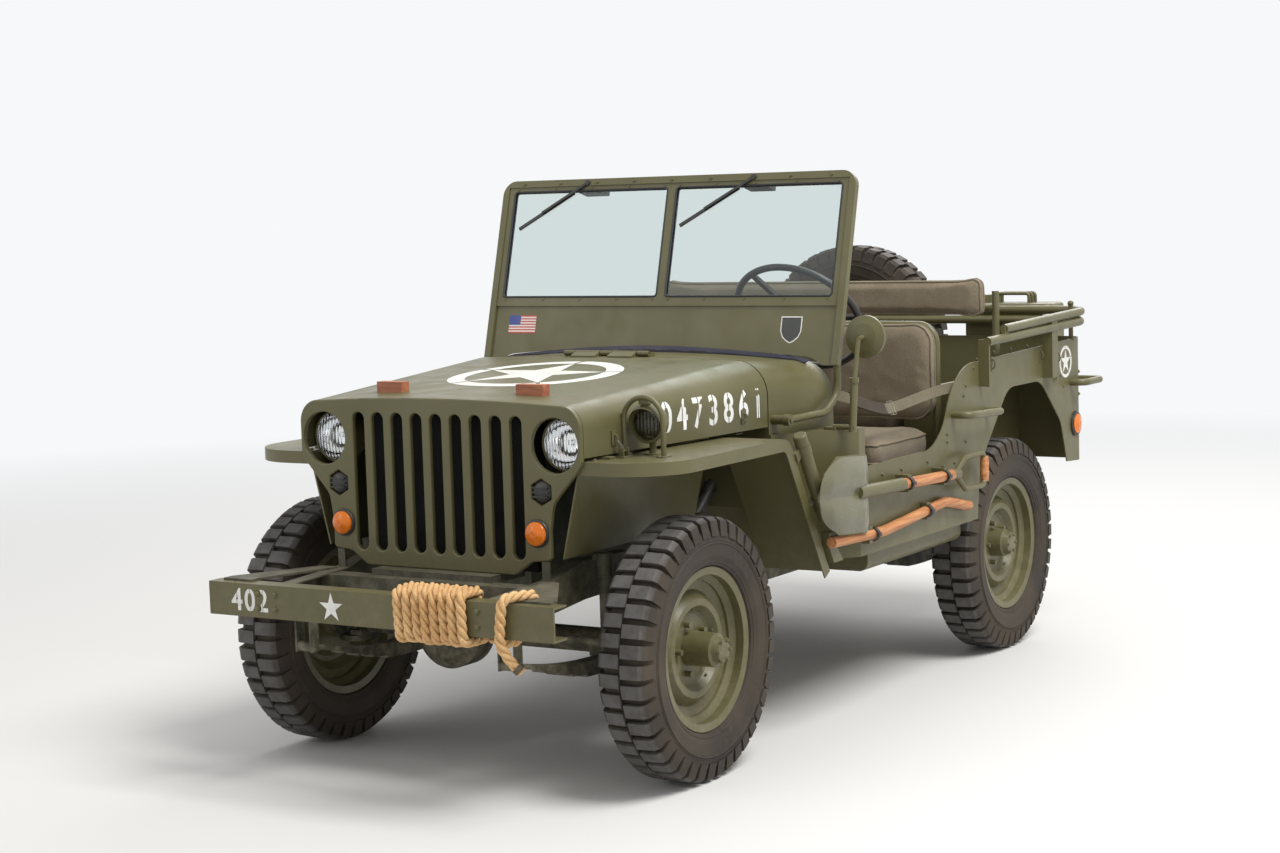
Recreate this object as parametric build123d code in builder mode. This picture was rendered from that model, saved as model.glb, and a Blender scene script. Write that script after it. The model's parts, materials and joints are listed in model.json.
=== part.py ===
from build123d import *
import os
from math import atan2, cos, degrees, hypot, pi, radians

os.makedirs("parts", exist_ok=True)

# An open army 4x4 car, standing on its wheels. X points to the front, Y to the car's
# left, Z up. The origin is on the floor, under the middle of the car.

# Driving sizes, in millimetres
FRONT_AXLE_X = 1100
WHEELBASE = 2032
HALF_TRACK = 613
TYRE_RADIUS = 358
SHEET = 4
FIT_GAP = 0.3
REAR_AXLE_X = FRONT_AXLE_X - WHEELBASE

# Tyres: carcass, rings on the side wall and the bar lugs
TYRE_HALF_WIDTH = 77
TREAD_HALF_WIDTH = 62
BEAD_RADIUS = 206
LUG_DEPTH = 15
LUG_COUNT = 42
LUG_WIDTH = 36
LUG_SIDE_REACH = 38
TREAD_RADIUS = TYRE_RADIUS - LUG_DEPTH
LUG_STEP = 360 / LUG_COUNT
LUG_CORNER_TURN = LUG_STEP / 2 - degrees(atan2(LUG_WIDTH / 2, TYRE_RADIUS))
AXLE_Z = hypot(TYRE_RADIUS, LUG_WIDTH / 2) * cos(radians(LUG_CORNER_TURN))

# Wheels: rim, dished disc, hub
RIM_FLANGE_RADIUS = 222
RIM_WELL_RADIUS = 184
RIM_HALF_WIDTH = 57
RIM_WALL = 5
BEAD_HALF_WIDTH = RIM_HALF_WIDTH - RIM_WALL - FIT_GAP
DISC_RING_RADIUS = 124
DISC_BOLT_FACE_RADIUS = 100
STUD_CIRCLE_RADIUS = 70
STUD_RADIUS = 8
STUD_COUNT = 5
HUB_RADIUS = 46
HUB_BORE_RADIUS = 22
SPINDLE_GAP = 0.05
FRONT_HUB_LENGTH = 92
REAR_HUB_LENGTH = 52

# Steering
KINGPIN_Y = 532
KINGPIN_RADIUS = 14
KNUCKLE_HALF_HEIGHT = 62
SPINDLE_LENGTH = 120
TIE_ARM_LENGTH = 140
TIE_ROD_DROP = 36
TIE_ROD_RADIUS = 12
ARM_THICKNESS = 16
ARM_Z = AXLE_Z + KNUCKLE_HALF_HEIGHT - ARM_THICKNESS
BALL_STUD_RADIUS = 8
STUD_GAP = 0.3

# Frame rails: height of the underside and the top along the car
RAIL_Y = 345
RAIL_WIDTH = 46
# columns: x, underside, top
RAIL_STATIONS = [
    (1612, 474, 556),
    (1380, 482, 566),
    (1230, 496, 600),
    (1000, 500, 596),
    (700, 392, 486),
    (-560, 392, 486),
    (-760, 498, 590),
    (-1130, 498, 590),
    (-1490, 470, 562),
]

# Radiator, on the same seat as the grille
RADIATOR_X = 1296
RADIATOR_DEPTH = 52
RADIATOR_TOP = 992

# Front bumper
BUMPER_FRONT_X = 1680
BUMPER_DEPTH = 62
BUMPER_BOTTOM = 469
BUMPER_HEIGHT = 91
BUMPER_HALF_LENGTH = 569
BUMPER_WALL = 6

# Axles
AXLE_TUBE_RADIUS = 35
DIFFERENTIAL_Y = -165
DIFFERENTIAL_RADIUS = 112
PINION_REACH = 163

# Leaf springs, under the axles
SPRING_Y = 340
SPRING_WIDTH = 44
LEAF_THICKNESS = 7
LEAF_COUNT = 6
EYE_RADIUS = 16
FRONT_SPRING_HALF = 450
REAR_SPRING_HALF = 520
SPRING_RISE = 62
SPRING_SEAT_TOP = AXLE_Z - AXLE_TUBE_RADIUS - 4

# Body tub
TUB_HALF_WIDTH = 715
TUB_BOTTOM = 490
REAR_OVERHANG = 583
TUB_REAR_X = REAR_AXLE_X - REAR_OVERHANG
TUB_REAR_TOP = 1024
DOOR_FRONT_X = 229
ROCKER_TOP = 753
FLOOR_Z = 520
REAR_FLOOR_Z = 606
RISER_X = -500
WHEELHOUSE_Y = 465
WHEELHOUSE_TOP = 905
WHEELHOUSE_FRONT_X = REAR_AXLE_X + 372
ARCH_TOP = 897
CORNER_DEPTH = 60
CORNER_RADIUS = 55
CORNER_BOTTOM = 585
REAR_POST_X = TUB_REAR_X + 70

# Cowl, in front of the doors
COWL_FRONT_X = 512
COWL_REAR_HALF = 612
COWL_FRONT_HALF = 548
COWL_CREST = 1096
COWL_REAR_CREST = 1090
COWL_LEDGE = 872
COWL_CORNER = 102
COWL_REAR_CORNER = 108
COWL_CORNER_DROP = 8
COWL_REAR_CORNER_DROP = 22
TUNNEL_HALF = 114
TUNNEL_REAR_X = -60
TUNNEL_LOW_TOP = 545
TUNNEL_SLOPE = 0.187

# Hood
HOOD_FRONT_X = 1368
HOOD_FRONT_HALF = 470
HOOD_LOW = 896
HOOD_FRONT_CREST = 1046
HOOD_FRONT_CORNER = 62
HOOD_FRONT_CORNER_DROP = 12
HOOD_GAP = 6
HOOD_HINGE_X = COWL_FRONT_X + HOOD_GAP / 2
HOOD_HINGE_Z = COWL_CREST + 9
HOOD_PIN_RADIUS = 4
HOOD_BARREL_RADIUS = 8
# Ranges of y of the hinge barrels on the cowl and on the hood
COWL_BARRELS = [(-150, -110), (-20, 20), (110, 150)]
HOOD_BARRELS = [(-108, -22), (22, 108)]
HOOD_BLOCK_X = 1255
HOOD_BLOCK_Y = 237
HOOD_BLOCK_HEIGHT = 25
HOOD_BLOCK_LENGTH = 92
HOOD_BLOCK_DEPTH = 36

# Front fenders
FENDER_TOP = 886
FENDER_LIP = 35
FENDER_HALF = 710
FENDER_CORNER = 170
FENDER_REAR_X = 690
FENDER_FRONT_X = 1370
FLAP_TIP_X = 462
FLAP_TIP_Z = 476

# Grille
GRILLE_X = 1384
GRILLE_THICKNESS = 14
GRILLE_EDGE = 4
GRILLE_LOW = 578
SLOT_COUNT = 9
SLOT_PITCH = 66
SLOT_WIDTH = 40
SLOT_TOP = 1003
SLOT_BOTTOM = 620
HEADLAMP_Y = 387
HEADLAMP_Z = 928
HEADLAMP_HOLE_RADIUS = 73
HEADLAMP_RADIUS = 68
MARKER_Y = 341
MARKER_Z = 804
MARKER_HOLE_RADIUS = 36
INDICATOR_Y = 326
INDICATOR_Z = 694
INDICATOR_RADIUS = 32

BLACKOUT_Y = 550
BLACKOUT_Z = 972
BLACKOUT_TOP = 1040

# Windshield: points on its plane and its hinge
SCREEN_BOTTOM_X = 245
SCREEN_BOTTOM_Z = 1054
SCREEN_TOP_X = 88
SCREEN_TOP_Z = 1628
SCREEN_HALF = 632
SCREEN_TUBE_RADIUS = 11
GLASS_FRAME_LOW = 180
GLASS_FRAME_DEPTH = 14
GLASS_THICKNESS = 5
PANE_WIDTH = 586
PANE_HEIGHT = 352
PANE_MIDDLE = 307
PANE_HEIGHT_MIDDLE = 384
SEAL_ROOM = 12
WIPER_Y = 304
WIPER_HEIGHT = 582
WIPER_LENGTH = 290
WIPER_SLANT = 30.4
HINGE_X = 492
HINGE_Z = 915
HINGE_Y = 600
HINGE_PIN_RADIUS = 7

# Steering gear
STEERING_RADIUS = 219
STEERING_RIM_RADIUS = 11
STEERING_SHAFT_RADIUS = 9
STEERING_BOX_SEAT = 486

# Pedals
PEDAL_X = 441
PEDAL_REACH = 108

# Seats
SEAT_LOOP_Z = 702
REAR_SEAT_TOP = 862
SEAT_Y = 437
SEAT_HALF = 220
SEAT_FRONT_X = 20
SEAT_BACK_X = -425
SEAT_TOP = 800
BACK_TOP = 1150
SEAT_TUBE_RADIUS = 13
SEAT_TUBE_FACE_X = -442
REAR_BACK_X = -880
REAR_BACK_HALF = 635
REAR_BACK_TOP = 1270

# Folded top bows
BOW_RADIUS = 15
BOW_Y = 745

# Rope on the bumper
ROPE_THICKNESS = 32
ROPE_RADIUS = 15

# Canister, tools, mirror and handles
CANISTER_Y = 716
CANISTER_RADIUS = 20
CANISTER_LENGTH = 300
CANISTER_STANDOFF = 45
SHOVEL_RADIUS = 17
AXE_RADIUS = 16
MIRROR_Z = 1139
HANDLE_Y = 776
HANDLE_RADIUS = 12
HANDLE_FRONT_X = -392
HANDLE_REAR_X = -655

# Fuel can
CAN_DEPTH = 152
CAN_FRONT_X = TUB_REAR_X - 7
CAN_REAR_X = CAN_FRONT_X - CAN_DEPTH
CAN_Y = 420
CAN_WIDTH = 345
CAN_BOTTOM_Z = 700
CAN_HEIGHT = 440

# Spare wheel
SPARE_STANDOFF = 87
SPARE_X = TUB_REAR_X - SPARE_STANDOFF
SPARE_Y = -230
SPARE_BORE_RADIUS = 32
SPARE_Z = 1000


def save(builder, label):
    builder.part.label = label
    export_step(builder.part, f"parts/{label}.step")


def save_together(label, *builders):
    """Saves like pieces of one rigid body as one named piece."""
    with BuildPart() as joined:
        for builder in builders:
            add(builder.part)
    save(joined, label)


# Hood and cowl outlines across the car, and the transmission tunnel
def shell_section(half, crest, drop, corner, low, grow):
    """A domed outline: straight sides, round top corners and a low arch between them."""
    side_y = half + grow
    edge_z = crest - drop + grow
    bend = corner * (1 - cos(pi / 4))
    with BuildLine() as outline:
        right = ThreePointArc(
            (-side_y, edge_z - corner),
            (-side_y + bend, edge_z - bend),
            (-side_y + corner, edge_z),
        )
        top = ThreePointArc(right @ 1, (0, crest + grow), (side_y - corner, edge_z))
        left = ThreePointArc(top @ 1, (side_y - bend, edge_z - bend), (side_y, edge_z - corner))
        Line(left @ 1, (side_y, low))
        Line((side_y, low), (-side_y, low))
        Line((-side_y, low), right @ 0)
    return outline.line


def across(x):
    """A plane across the car at x: its x is the car's y, its y is the height."""
    return Plane(origin=(x, 0, 0), x_dir=(0, 1, 0), z_dir=(1, 0, 0))


def tunnel_top(x):
    """The height of the transmission tunnel's top at a place along the car."""
    return TUNNEL_LOW_TOP + TUNNEL_SLOPE * (x - TUNNEL_REAR_X)


def tunnel(x_rear, x_front, grow):
    """The transmission tunnel between two places along the car, as a solid."""
    with BuildPart() as hump:
        for x in (x_rear, x_front):
            top = tunnel_top(x) + grow
            half = TUNNEL_HALF + grow
            with BuildSketch(across(x)):
                with Locations((0, FLOOR_Z - SHEET)):
                    rise = top - FLOOR_Z + SHEET
                    Polygon(
                        (-half, 0),
                        (half, 0),
                        (half - 12, 0.6 * rise),
                        (half - 36, rise),
                        (36 - half, rise),
                        (12 - half, 0.6 * rise),
                        align=None,
                    )
        loft(ruled=True)
    return hump.part


def crown(stations, low, grow, shift):
    """A solid through domed outlines; grow widens it and shift moves it along the car."""
    with BuildPart() as body:
        for x, half, crest, drop, corner in stations:
            with BuildSketch(across(x + shift)):
                with BuildLine():
                    add(shell_section(half, crest, drop, corner, low, grow))
                make_face()
        loft(ruled=True)
    return body.part


def tube(points, radius, bend):
    """A round bar along a route, with one bend radius at every corner."""
    with BuildPart() as bar:
        with BuildLine() as route:
            if bend:
                FilletPolyline(*points, radius=bend)
            else:
                Line(*points)
        with BuildSketch(Plane(origin=route.line @ 0, z_dir=route.line % 0)):
            Circle(radius)
        sweep()
    return bar.part


def disc(centre, direction, radius, length):
    """A cylinder from a centre along a direction."""
    with BuildPart() as round_piece:
        with BuildSketch(Plane(origin=centre, z_dir=direction)):
            Circle(radius)
        extrude(amount=length)
    return round_piece.part


def block(x_range, y_range, z_range):
    """A plain box between three pairs of limits."""
    with BuildPart() as piece:
        with BuildSketch(Plane.XY.offset(z_range[0])):
            with Locations((x_range[0], y_range[0])):
                Rectangle(
                    x_range[1] - x_range[0], y_range[1] - y_range[0],
                    align=(Align.MIN, Align.MIN),
                )
        extrude(amount=z_range[1] - z_range[0])
    return piece.part


def pad(x_range, y_range, z_range, edge):
    """A cushion: a box with all its edges rounded."""
    with BuildPart() as piece:
        add(block(x_range, y_range, z_range))
        fillet(piece.edges(), edge)
    return piece.part


def back_pad(x_range, y_range, z_range, corner, edge):
    """An upright cushion: its four corners are rounder than its edges."""
    with BuildPart() as piece:
        add(block(x_range, y_range, z_range))
        fillet(piece.edges().filter_by(Axis.X), corner)
        for face in (piece.faces().sort_by(Axis.X)[0], piece.faces().sort_by(Axis.X)[-1]):
            fillet(face.edges(), edge)
    return piece.part


# Tyre and wheel forms, made once about the Y axis at the origin
with BuildPart() as tyre_form:
    with BuildSketch(Plane.XY):
        with BuildLine():
            Polyline(
                (BEAD_RADIUS, 0),
                (BEAD_RADIUS, BEAD_HALF_WIDTH),
                (RIM_FLANGE_RADIUS + 1, BEAD_HALF_WIDTH),
                (RIM_FLANGE_RADIUS + 5, RIM_HALF_WIDTH + 5),
                (RIM_FLANGE_RADIUS + 30, TYRE_HALF_WIDTH - 5),
                (RIM_FLANGE_RADIUS + 62, TYRE_HALF_WIDTH),
                (TREAD_RADIUS - LUG_SIDE_REACH + 8, TYRE_HALF_WIDTH - 4),
                (TREAD_RADIUS - 8, TREAD_HALF_WIDTH - 2),
                (TREAD_RADIUS, TREAD_HALF_WIDTH - 16),
                (TREAD_RADIUS, 0),
                close=True,
            )
        make_face()
        mirror(about=Plane.XZ)
    revolve(axis=Axis.Y)
    LUG_SECTION = [
        (TREAD_RADIUS - 20, 3),
        (TYRE_RADIUS, 3),
        (TYRE_RADIUS - 2, TREAD_HALF_WIDTH - 6),
        (TYRE_RADIUS - 12, TREAD_HALF_WIDTH + 8),
        (TREAD_RADIUS - LUG_SIDE_REACH, TYRE_HALF_WIDTH + 1),
        (TREAD_RADIUS - LUG_SIDE_REACH, TYRE_HALF_WIDTH - 20),
    ]
    for side, start in [(1, 0), (-1, LUG_STEP / 2)]:
        for lug in range(LUG_COUNT):
            lug_plane = Plane.XY.rotated((0, start + lug * LUG_STEP, 0))
            with BuildSketch(lug_plane):
                Polygon(*[(r, side * w) for r, w in LUG_SECTION], align=None)
            extrude(amount=LUG_WIDTH / 2, both=True)


def hub_outline(hub_length, cap_radius):
    """The hub's half section, from the disc's outer face round to its inner face."""
    return [
        (HUB_RADIUS + 2, 0),
        (HUB_RADIUS, hub_length - 8),
        (cap_radius, hub_length - 4),
        (cap_radius - 6, hub_length + 14),
        (HUB_BORE_RADIUS - 4, hub_length + 16),
        (0, hub_length + 16),
        (0, hub_length - 6),
        (HUB_BORE_RADIUS, hub_length - 6),
        (HUB_BORE_RADIUS, -30),
        (HUB_RADIUS + 4, -30),
        (HUB_RADIUS + 14, -6),
    ]


def wheel_form(centre_outline):
    """Rim and dished disc with its centre, outer face towards +Y."""
    with BuildPart() as wheel:
        with BuildSketch(Plane.XY):
            with BuildLine():
                Polyline(
                    (RIM_FLANGE_RADIUS, -RIM_HALF_WIDTH),
                    (RIM_FLANGE_RADIUS, -RIM_HALF_WIDTH + RIM_WALL),
                    (BEAD_RADIUS - FIT_GAP, -RIM_HALF_WIDTH + RIM_WALL),
                    (BEAD_RADIUS - FIT_GAP, -RIM_HALF_WIDTH + 34),
                    (RIM_WELL_RADIUS + RIM_WALL, -RIM_HALF_WIDTH + 48),
                    (RIM_WELL_RADIUS + RIM_WALL, 14),
                    (BEAD_RADIUS - FIT_GAP, 24),
                    (BEAD_RADIUS - FIT_GAP, RIM_HALF_WIDTH - RIM_WALL),
                    (RIM_FLANGE_RADIUS, RIM_HALF_WIDTH - RIM_WALL),
                    (RIM_FLANGE_RADIUS, RIM_HALF_WIDTH),
                    (BEAD_RADIUS - RIM_WALL, RIM_HALF_WIDTH - 4),
                    (BEAD_RADIUS - RIM_WALL, 28),
                    (RIM_WELL_RADIUS, 16),
                    (RIM_WELL_RADIUS, 8),
                    (DISC_RING_RADIUS + 34, 0),
                    (DISC_RING_RADIUS + 10, 24),
                    (DISC_RING_RADIUS - 8, 24),
                    (DISC_BOLT_FACE_RADIUS, 4),
                    (DISC_BOLT_FACE_RADIUS - 6, 0),
                    *centre_outline,
                    (DISC_BOLT_FACE_RADIUS - 2, -6),
                    (DISC_BOLT_FACE_RADIUS + 4, -2),
                    (DISC_RING_RADIUS - 6, 18),
                    (DISC_RING_RADIUS + 8, 18),
                    (DISC_RING_RADIUS + 32, -6),
                    (RIM_WELL_RADIUS, 2),
                    (RIM_WELL_RADIUS, -RIM_HALF_WIDTH + 46),
                    (BEAD_RADIUS - RIM_WALL, -RIM_HALF_WIDTH + 32),
                    (BEAD_RADIUS - RIM_WALL, -RIM_HALF_WIDTH + 4),
                    close=True,
                )
            make_face()
        revolve(axis=Axis.Y)
        stud_plane = Plane(origin=(0, -2, 0), x_dir=(1, 0, 0), z_dir=(0, 1, 0))
        with BuildSketch(stud_plane):
            with PolarLocations(STUD_CIRCLE_RADIUS, STUD_COUNT):
                Circle(STUD_RADIUS)
        extrude(amount=20)
    return wheel.part


def place_wheel(form, label, x, y, z, turn):
    """Puts a copy of a form at a wheel's place, turned about the vertical."""
    with BuildPart() as placed:
        with Locations(Location((x, y, z), (0, 0, turn))):
            add(form)
    save(placed, label)


FRONT_WHEEL = wheel_form(hub_outline(FRONT_HUB_LENGTH, 36))
REAR_WHEEL = wheel_form(hub_outline(REAR_HUB_LENGTH, 42))
SPARE_WHEEL = wheel_form([(SPARE_BORE_RADIUS, 0), (SPARE_BORE_RADIUS, -6)])
# columns: name, x, y, z, turn about the vertical, wheel form
WHEELS = [
    ("front_left", FRONT_AXLE_X, HALF_TRACK, AXLE_Z, 0, FRONT_WHEEL),
    ("front_right", FRONT_AXLE_X, -HALF_TRACK, AXLE_Z, 180, FRONT_WHEEL),
    ("rear_left", REAR_AXLE_X, HALF_TRACK, AXLE_Z, 0, REAR_WHEEL),
    ("rear_right", REAR_AXLE_X, -HALF_TRACK, AXLE_Z, 180, REAR_WHEEL),
    ("spare", SPARE_X, SPARE_Y, SPARE_Z, 90, SPARE_WHEEL),
]
for name, x, y, z, turn, form in WHEELS:
    place_wheel(tyre_form.part, f"tyre_{name}", x, y, z, turn)
    place_wheel(form, f"wheel_{name}", x, y, z, turn)

# Steering knuckles: kingpin, spindle through the hub, and the arm to the tie rod
for name, side in [("left", 1), ("right", -1)]:
    pin_y = side * KINGPIN_Y
    with BuildPart() as knuckle:
        with BuildSketch(Plane.XY.offset(AXLE_Z - KNUCKLE_HALF_HEIGHT)):
            with Locations((FRONT_AXLE_X, pin_y)):
                Circle(KINGPIN_RADIUS)
        extrude(amount=2 * KNUCKLE_HALF_HEIGHT)
        carrier_heights = [
            (AXLE_Z - KNUCKLE_HALF_HEIGHT, 16),
            (AXLE_Z + KNUCKLE_HALF_HEIGHT - 16, 16),
        ]
        for low, height in carrier_heights:
            with BuildSketch(Plane.XY.offset(low)):
                with Locations((FRONT_AXLE_X, pin_y)):
                    Circle(30)
                with Locations((FRONT_AXLE_X, pin_y + side * 20)):
                    Rectangle(60, 40)
            extrude(amount=height)
        flange_plane = Plane(
            origin=(FRONT_AXLE_X, pin_y + side * 32, AXLE_Z),
            x_dir=(1, 0, 0),
            z_dir=(0, side, 0),
        )
        with BuildSketch(flange_plane):
            Circle(KNUCKLE_HALF_HEIGHT)
        extrude(amount=12)
        with BuildSketch(flange_plane):
            Circle(HUB_BORE_RADIUS - SPINDLE_GAP)
        extrude(amount=SPINDLE_LENGTH)
        with BuildSketch(Plane.XY.offset(ARM_Z)):
            with Locations((FRONT_AXLE_X + TIE_ARM_LENGTH / 2, pin_y)):
                Rectangle(TIE_ARM_LENGTH, 26)
            with Locations((FRONT_AXLE_X + TIE_ARM_LENGTH, pin_y)):
                Circle(18)
        extrude(amount=ARM_THICKNESS)
        with BuildSketch(Plane.XY.offset(ARM_Z - TIE_ROD_DROP)):
            with Locations((FRONT_AXLE_X + TIE_ARM_LENGTH, pin_y)):
                Circle(BALL_STUD_RADIUS)
        extrude(amount=TIE_ROD_DROP)
    save(knuckle, f"knuckle_{name}")

with BuildPart() as tie_rod:
    rod_x = FRONT_AXLE_X + TIE_ARM_LENGTH
    rod_z = ARM_Z - TIE_ROD_DROP / 2 - 2
    rod_plane = Plane(origin=(rod_x, -KINGPIN_Y, rod_z), x_dir=(1, 0, 0), z_dir=(0, 1, 0))
    with BuildSketch(rod_plane):
        Circle(TIE_ROD_RADIUS)
    extrude(amount=2 * KINGPIN_Y)
    for side in (-1, 1):
        with BuildSketch(Plane.XY.offset(rod_z - 13)):
            with Locations((rod_x, side * KINGPIN_Y)):
                Circle(17)
        extrude(amount=26)
        with BuildSketch(Plane.XY.offset(rod_z - 13)):
            with Locations((rod_x, side * KINGPIN_Y)):
                Circle(BALL_STUD_RADIUS + STUD_GAP)
        extrude(amount=26, mode=Mode.SUBTRACT)
save(tie_rod, "tie_rod")


# Frame: two channel rails with kick-ups over the axles, joined by cross members
with BuildPart() as frame:
    low_points = [(x, low) for x, low, top in RAIL_STATIONS]
    top_points = [(x, top) for x, low, top in reversed(RAIL_STATIONS)]
    for side in (-1, 1):
        outer_y = side * (RAIL_Y + RAIL_WIDTH / 2)
        rail_plane = Plane(origin=(0, outer_y, 0), x_dir=(1, 0, 0), z_dir=(0, -1, 0))
        into_car = RAIL_WIDTH if side > 0 else -RAIL_WIDTH
        with BuildSketch(rail_plane):
            Polygon(*low_points, *top_points, align=None)
        extrude(amount=into_car)
        web_plane = Plane(
            origin=(0, outer_y - side * SHEET, 0), x_dir=(1, 0, 0), z_dir=(0, -1, 0)
        )
        with BuildSketch(web_plane):
            Polygon(*low_points, *top_points, align=None)
            offset(amount=-SHEET, kind=Kind.INTERSECTION, mode=Mode.REPLACE)
        extrude(amount=into_car, mode=Mode.SUBTRACT)
    rail_gap = 2 * (RAIL_Y + RAIL_WIDTH / 2 - SHEET)
    # columns: x, underside, height, length along the car
    for x, low, height, length in [
        (1440, 500, 60, 60),
        (560, 410, 52, 70),
        (-250, 424, 52, 70),
        (-1455, 480, 70, 60),
    ]:
        with BuildSketch(Plane.XY.offset(low)):
            with Locations((x, 0)):
                Rectangle(length, rail_gap)
        extrude(amount=height)
    # Seat of the grille and the radiator, on the front cross member
    with BuildSketch(Plane.XY.offset(GRILLE_LOW - FIT_GAP - 22)):
        Polygon(
            (RADIATOR_X - RADIATOR_DEPTH / 2, 200), (1430, 200),
            (1430, -200), (RADIATOR_X - RADIATOR_DEPTH / 2, -200),
            align=None,
        )
    extrude(amount=22)
    # Body mounts on the rails; columns: x, underside, top
    for x, low, top in [
        (-420, 486, FLOOR_Z - SHEET),
        (-60, 486, FLOOR_Z - SHEET),
        (170, 486, FLOOR_Z - SHEET),
        (300, 486, FLOOR_Z - SHEET),
        (-950, 590, REAR_FLOOR_Z - SHEET),
    ]:
        with BuildSketch(Plane.XY.offset(low)):
            with Locations((x, -RAIL_Y), (x, RAIL_Y)):
                Rectangle(60, RAIL_WIDTH)
        extrude(amount=top - low)

with BuildPart() as front_bumper:
    bumper_plane = Plane(
        origin=(BUMPER_FRONT_X, -BUMPER_HALF_LENGTH, BUMPER_BOTTOM),
        x_dir=(-1, 0, 0),
        z_dir=(0, 1, 0),
    )
    with BuildSketch(bumper_plane):
        Rectangle(BUMPER_DEPTH, BUMPER_HEIGHT, align=(Align.MIN, Align.MIN))
        fillet(vertices().group_by(Axis.X)[-1], 10)
        with Locations((BUMPER_WALL, BUMPER_WALL)):
            Rectangle(
                BUMPER_DEPTH,
                BUMPER_HEIGHT - 2 * BUMPER_WALL,
                align=(Align.MIN, Align.MIN),
                mode=Mode.SUBTRACT,
            )
    extrude(amount=2 * BUMPER_HALF_LENGTH)
save(front_bumper, "front_bumper")


# Axles: tube, differential housing with its nose, and the yokes or flanges at the ends
def axle_housing(x, half_length, nose_direction):
    with BuildPart() as housing:
        along = Plane(origin=(x, -half_length, AXLE_Z), x_dir=(1, 0, 0), z_dir=(0, 1, 0))
        with BuildSketch(along):
            Circle(AXLE_TUBE_RADIUS)
        extrude(amount=2 * half_length)
        # columns: place along the shaft from the tube's middle, radius
        bowl = [(-62, 0), (-62, 80), (-40, DIFFERENTIAL_RADIUS), (36, DIFFERENTIAL_RADIUS)]
        nose = [(60, 66), (150, 40), (PINION_REACH, 38), (PINION_REACH, 0)]
        bowl_plane = Plane(
            origin=(x, DIFFERENTIAL_Y, AXLE_Z), x_dir=(nose_direction, 0, 0), z_dir=(0, 1, 0)
        )
        with BuildSketch(bowl_plane):
            Polygon(*bowl, *nose, align=None)
        revolve(axis=Axis((x, DIFFERENTIAL_Y, AXLE_Z), (1, 0, 0)))
        with BuildSketch(Plane.XY.offset(SPRING_SEAT_TOP + 1)):
            with Locations((x, -SPRING_Y), (x, SPRING_Y)):
                Rectangle(70, SPRING_WIDTH + 12)
        extrude(amount=AXLE_TUBE_RADIUS)
    return housing.part


with BuildPart() as front_axle:
    add(axle_housing(FRONT_AXLE_X, KINGPIN_Y - 56, -1))
    for side in (-1, 1):
        ball_y = side * (KINGPIN_Y - 62)
        fork = Plane(
            origin=(FRONT_AXLE_X, ball_y, AXLE_Z), x_dir=(1, 0, 0), z_dir=(0, side, 0)
        )
        with BuildSketch(fork):
            Circle(KNUCKLE_HALF_HEIGHT - 4)
        with BuildSketch(fork.offset(22)):
            Circle(KNUCKLE_HALF_HEIGHT - 20)
        loft()
        arm_z = KNUCKLE_HALF_HEIGHT - 18
        for low in (AXLE_Z - arm_z, AXLE_Z + arm_z - 14):
            with BuildSketch(Plane.XY.offset(low)):
                with Locations((FRONT_AXLE_X, side * (KINGPIN_Y - 28))):
                    Rectangle(44, 56)
                with Locations((FRONT_AXLE_X, side * KINGPIN_Y)):
                    Circle(22)
            extrude(amount=14)
            with BuildSketch(Plane.XY.offset(low)):
                with Locations((FRONT_AXLE_X, side * KINGPIN_Y)):
                    Circle(KINGPIN_RADIUS + SPINDLE_GAP)
            extrude(amount=14, mode=Mode.SUBTRACT)
save(front_axle, "front_axle")

with BuildPart() as rear_axle:
    add(axle_housing(REAR_AXLE_X, HALF_TRACK - 40, 1))
    spindle = Plane(
        origin=(REAR_AXLE_X, -HALF_TRACK - REAR_HUB_LENGTH + 10, AXLE_Z),
        x_dir=(1, 0, 0),
        z_dir=(0, 1, 0),
    )
    with BuildSketch(spindle):
        Circle(HUB_BORE_RADIUS - SPINDLE_GAP)
    extrude(amount=2 * (HALF_TRACK + REAR_HUB_LENGTH - 10))
    for side in (-1, 1):
        backing = Plane(
            origin=(REAR_AXLE_X, side * (HALF_TRACK - 60), AXLE_Z),
            x_dir=(1, 0, 0),
            z_dir=(0, side, 0),
        )
        with BuildSketch(backing):
            Circle(118)
        extrude(amount=16)
save(rear_axle, "rear_axle")

def rail_height(x):
    """The height of the frame rail's underside at a place along the car."""
    for (x_a, low_a, top_a), (x_b, low_b, top_b) in zip(RAIL_STATIONS, RAIL_STATIONS[1:]):
        if x_b <= x <= x_a:
            return low_a + (low_b - low_a) * (x_a - x) / (x_a - x_b)
    return RAIL_STATIONS[0][1]


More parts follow.
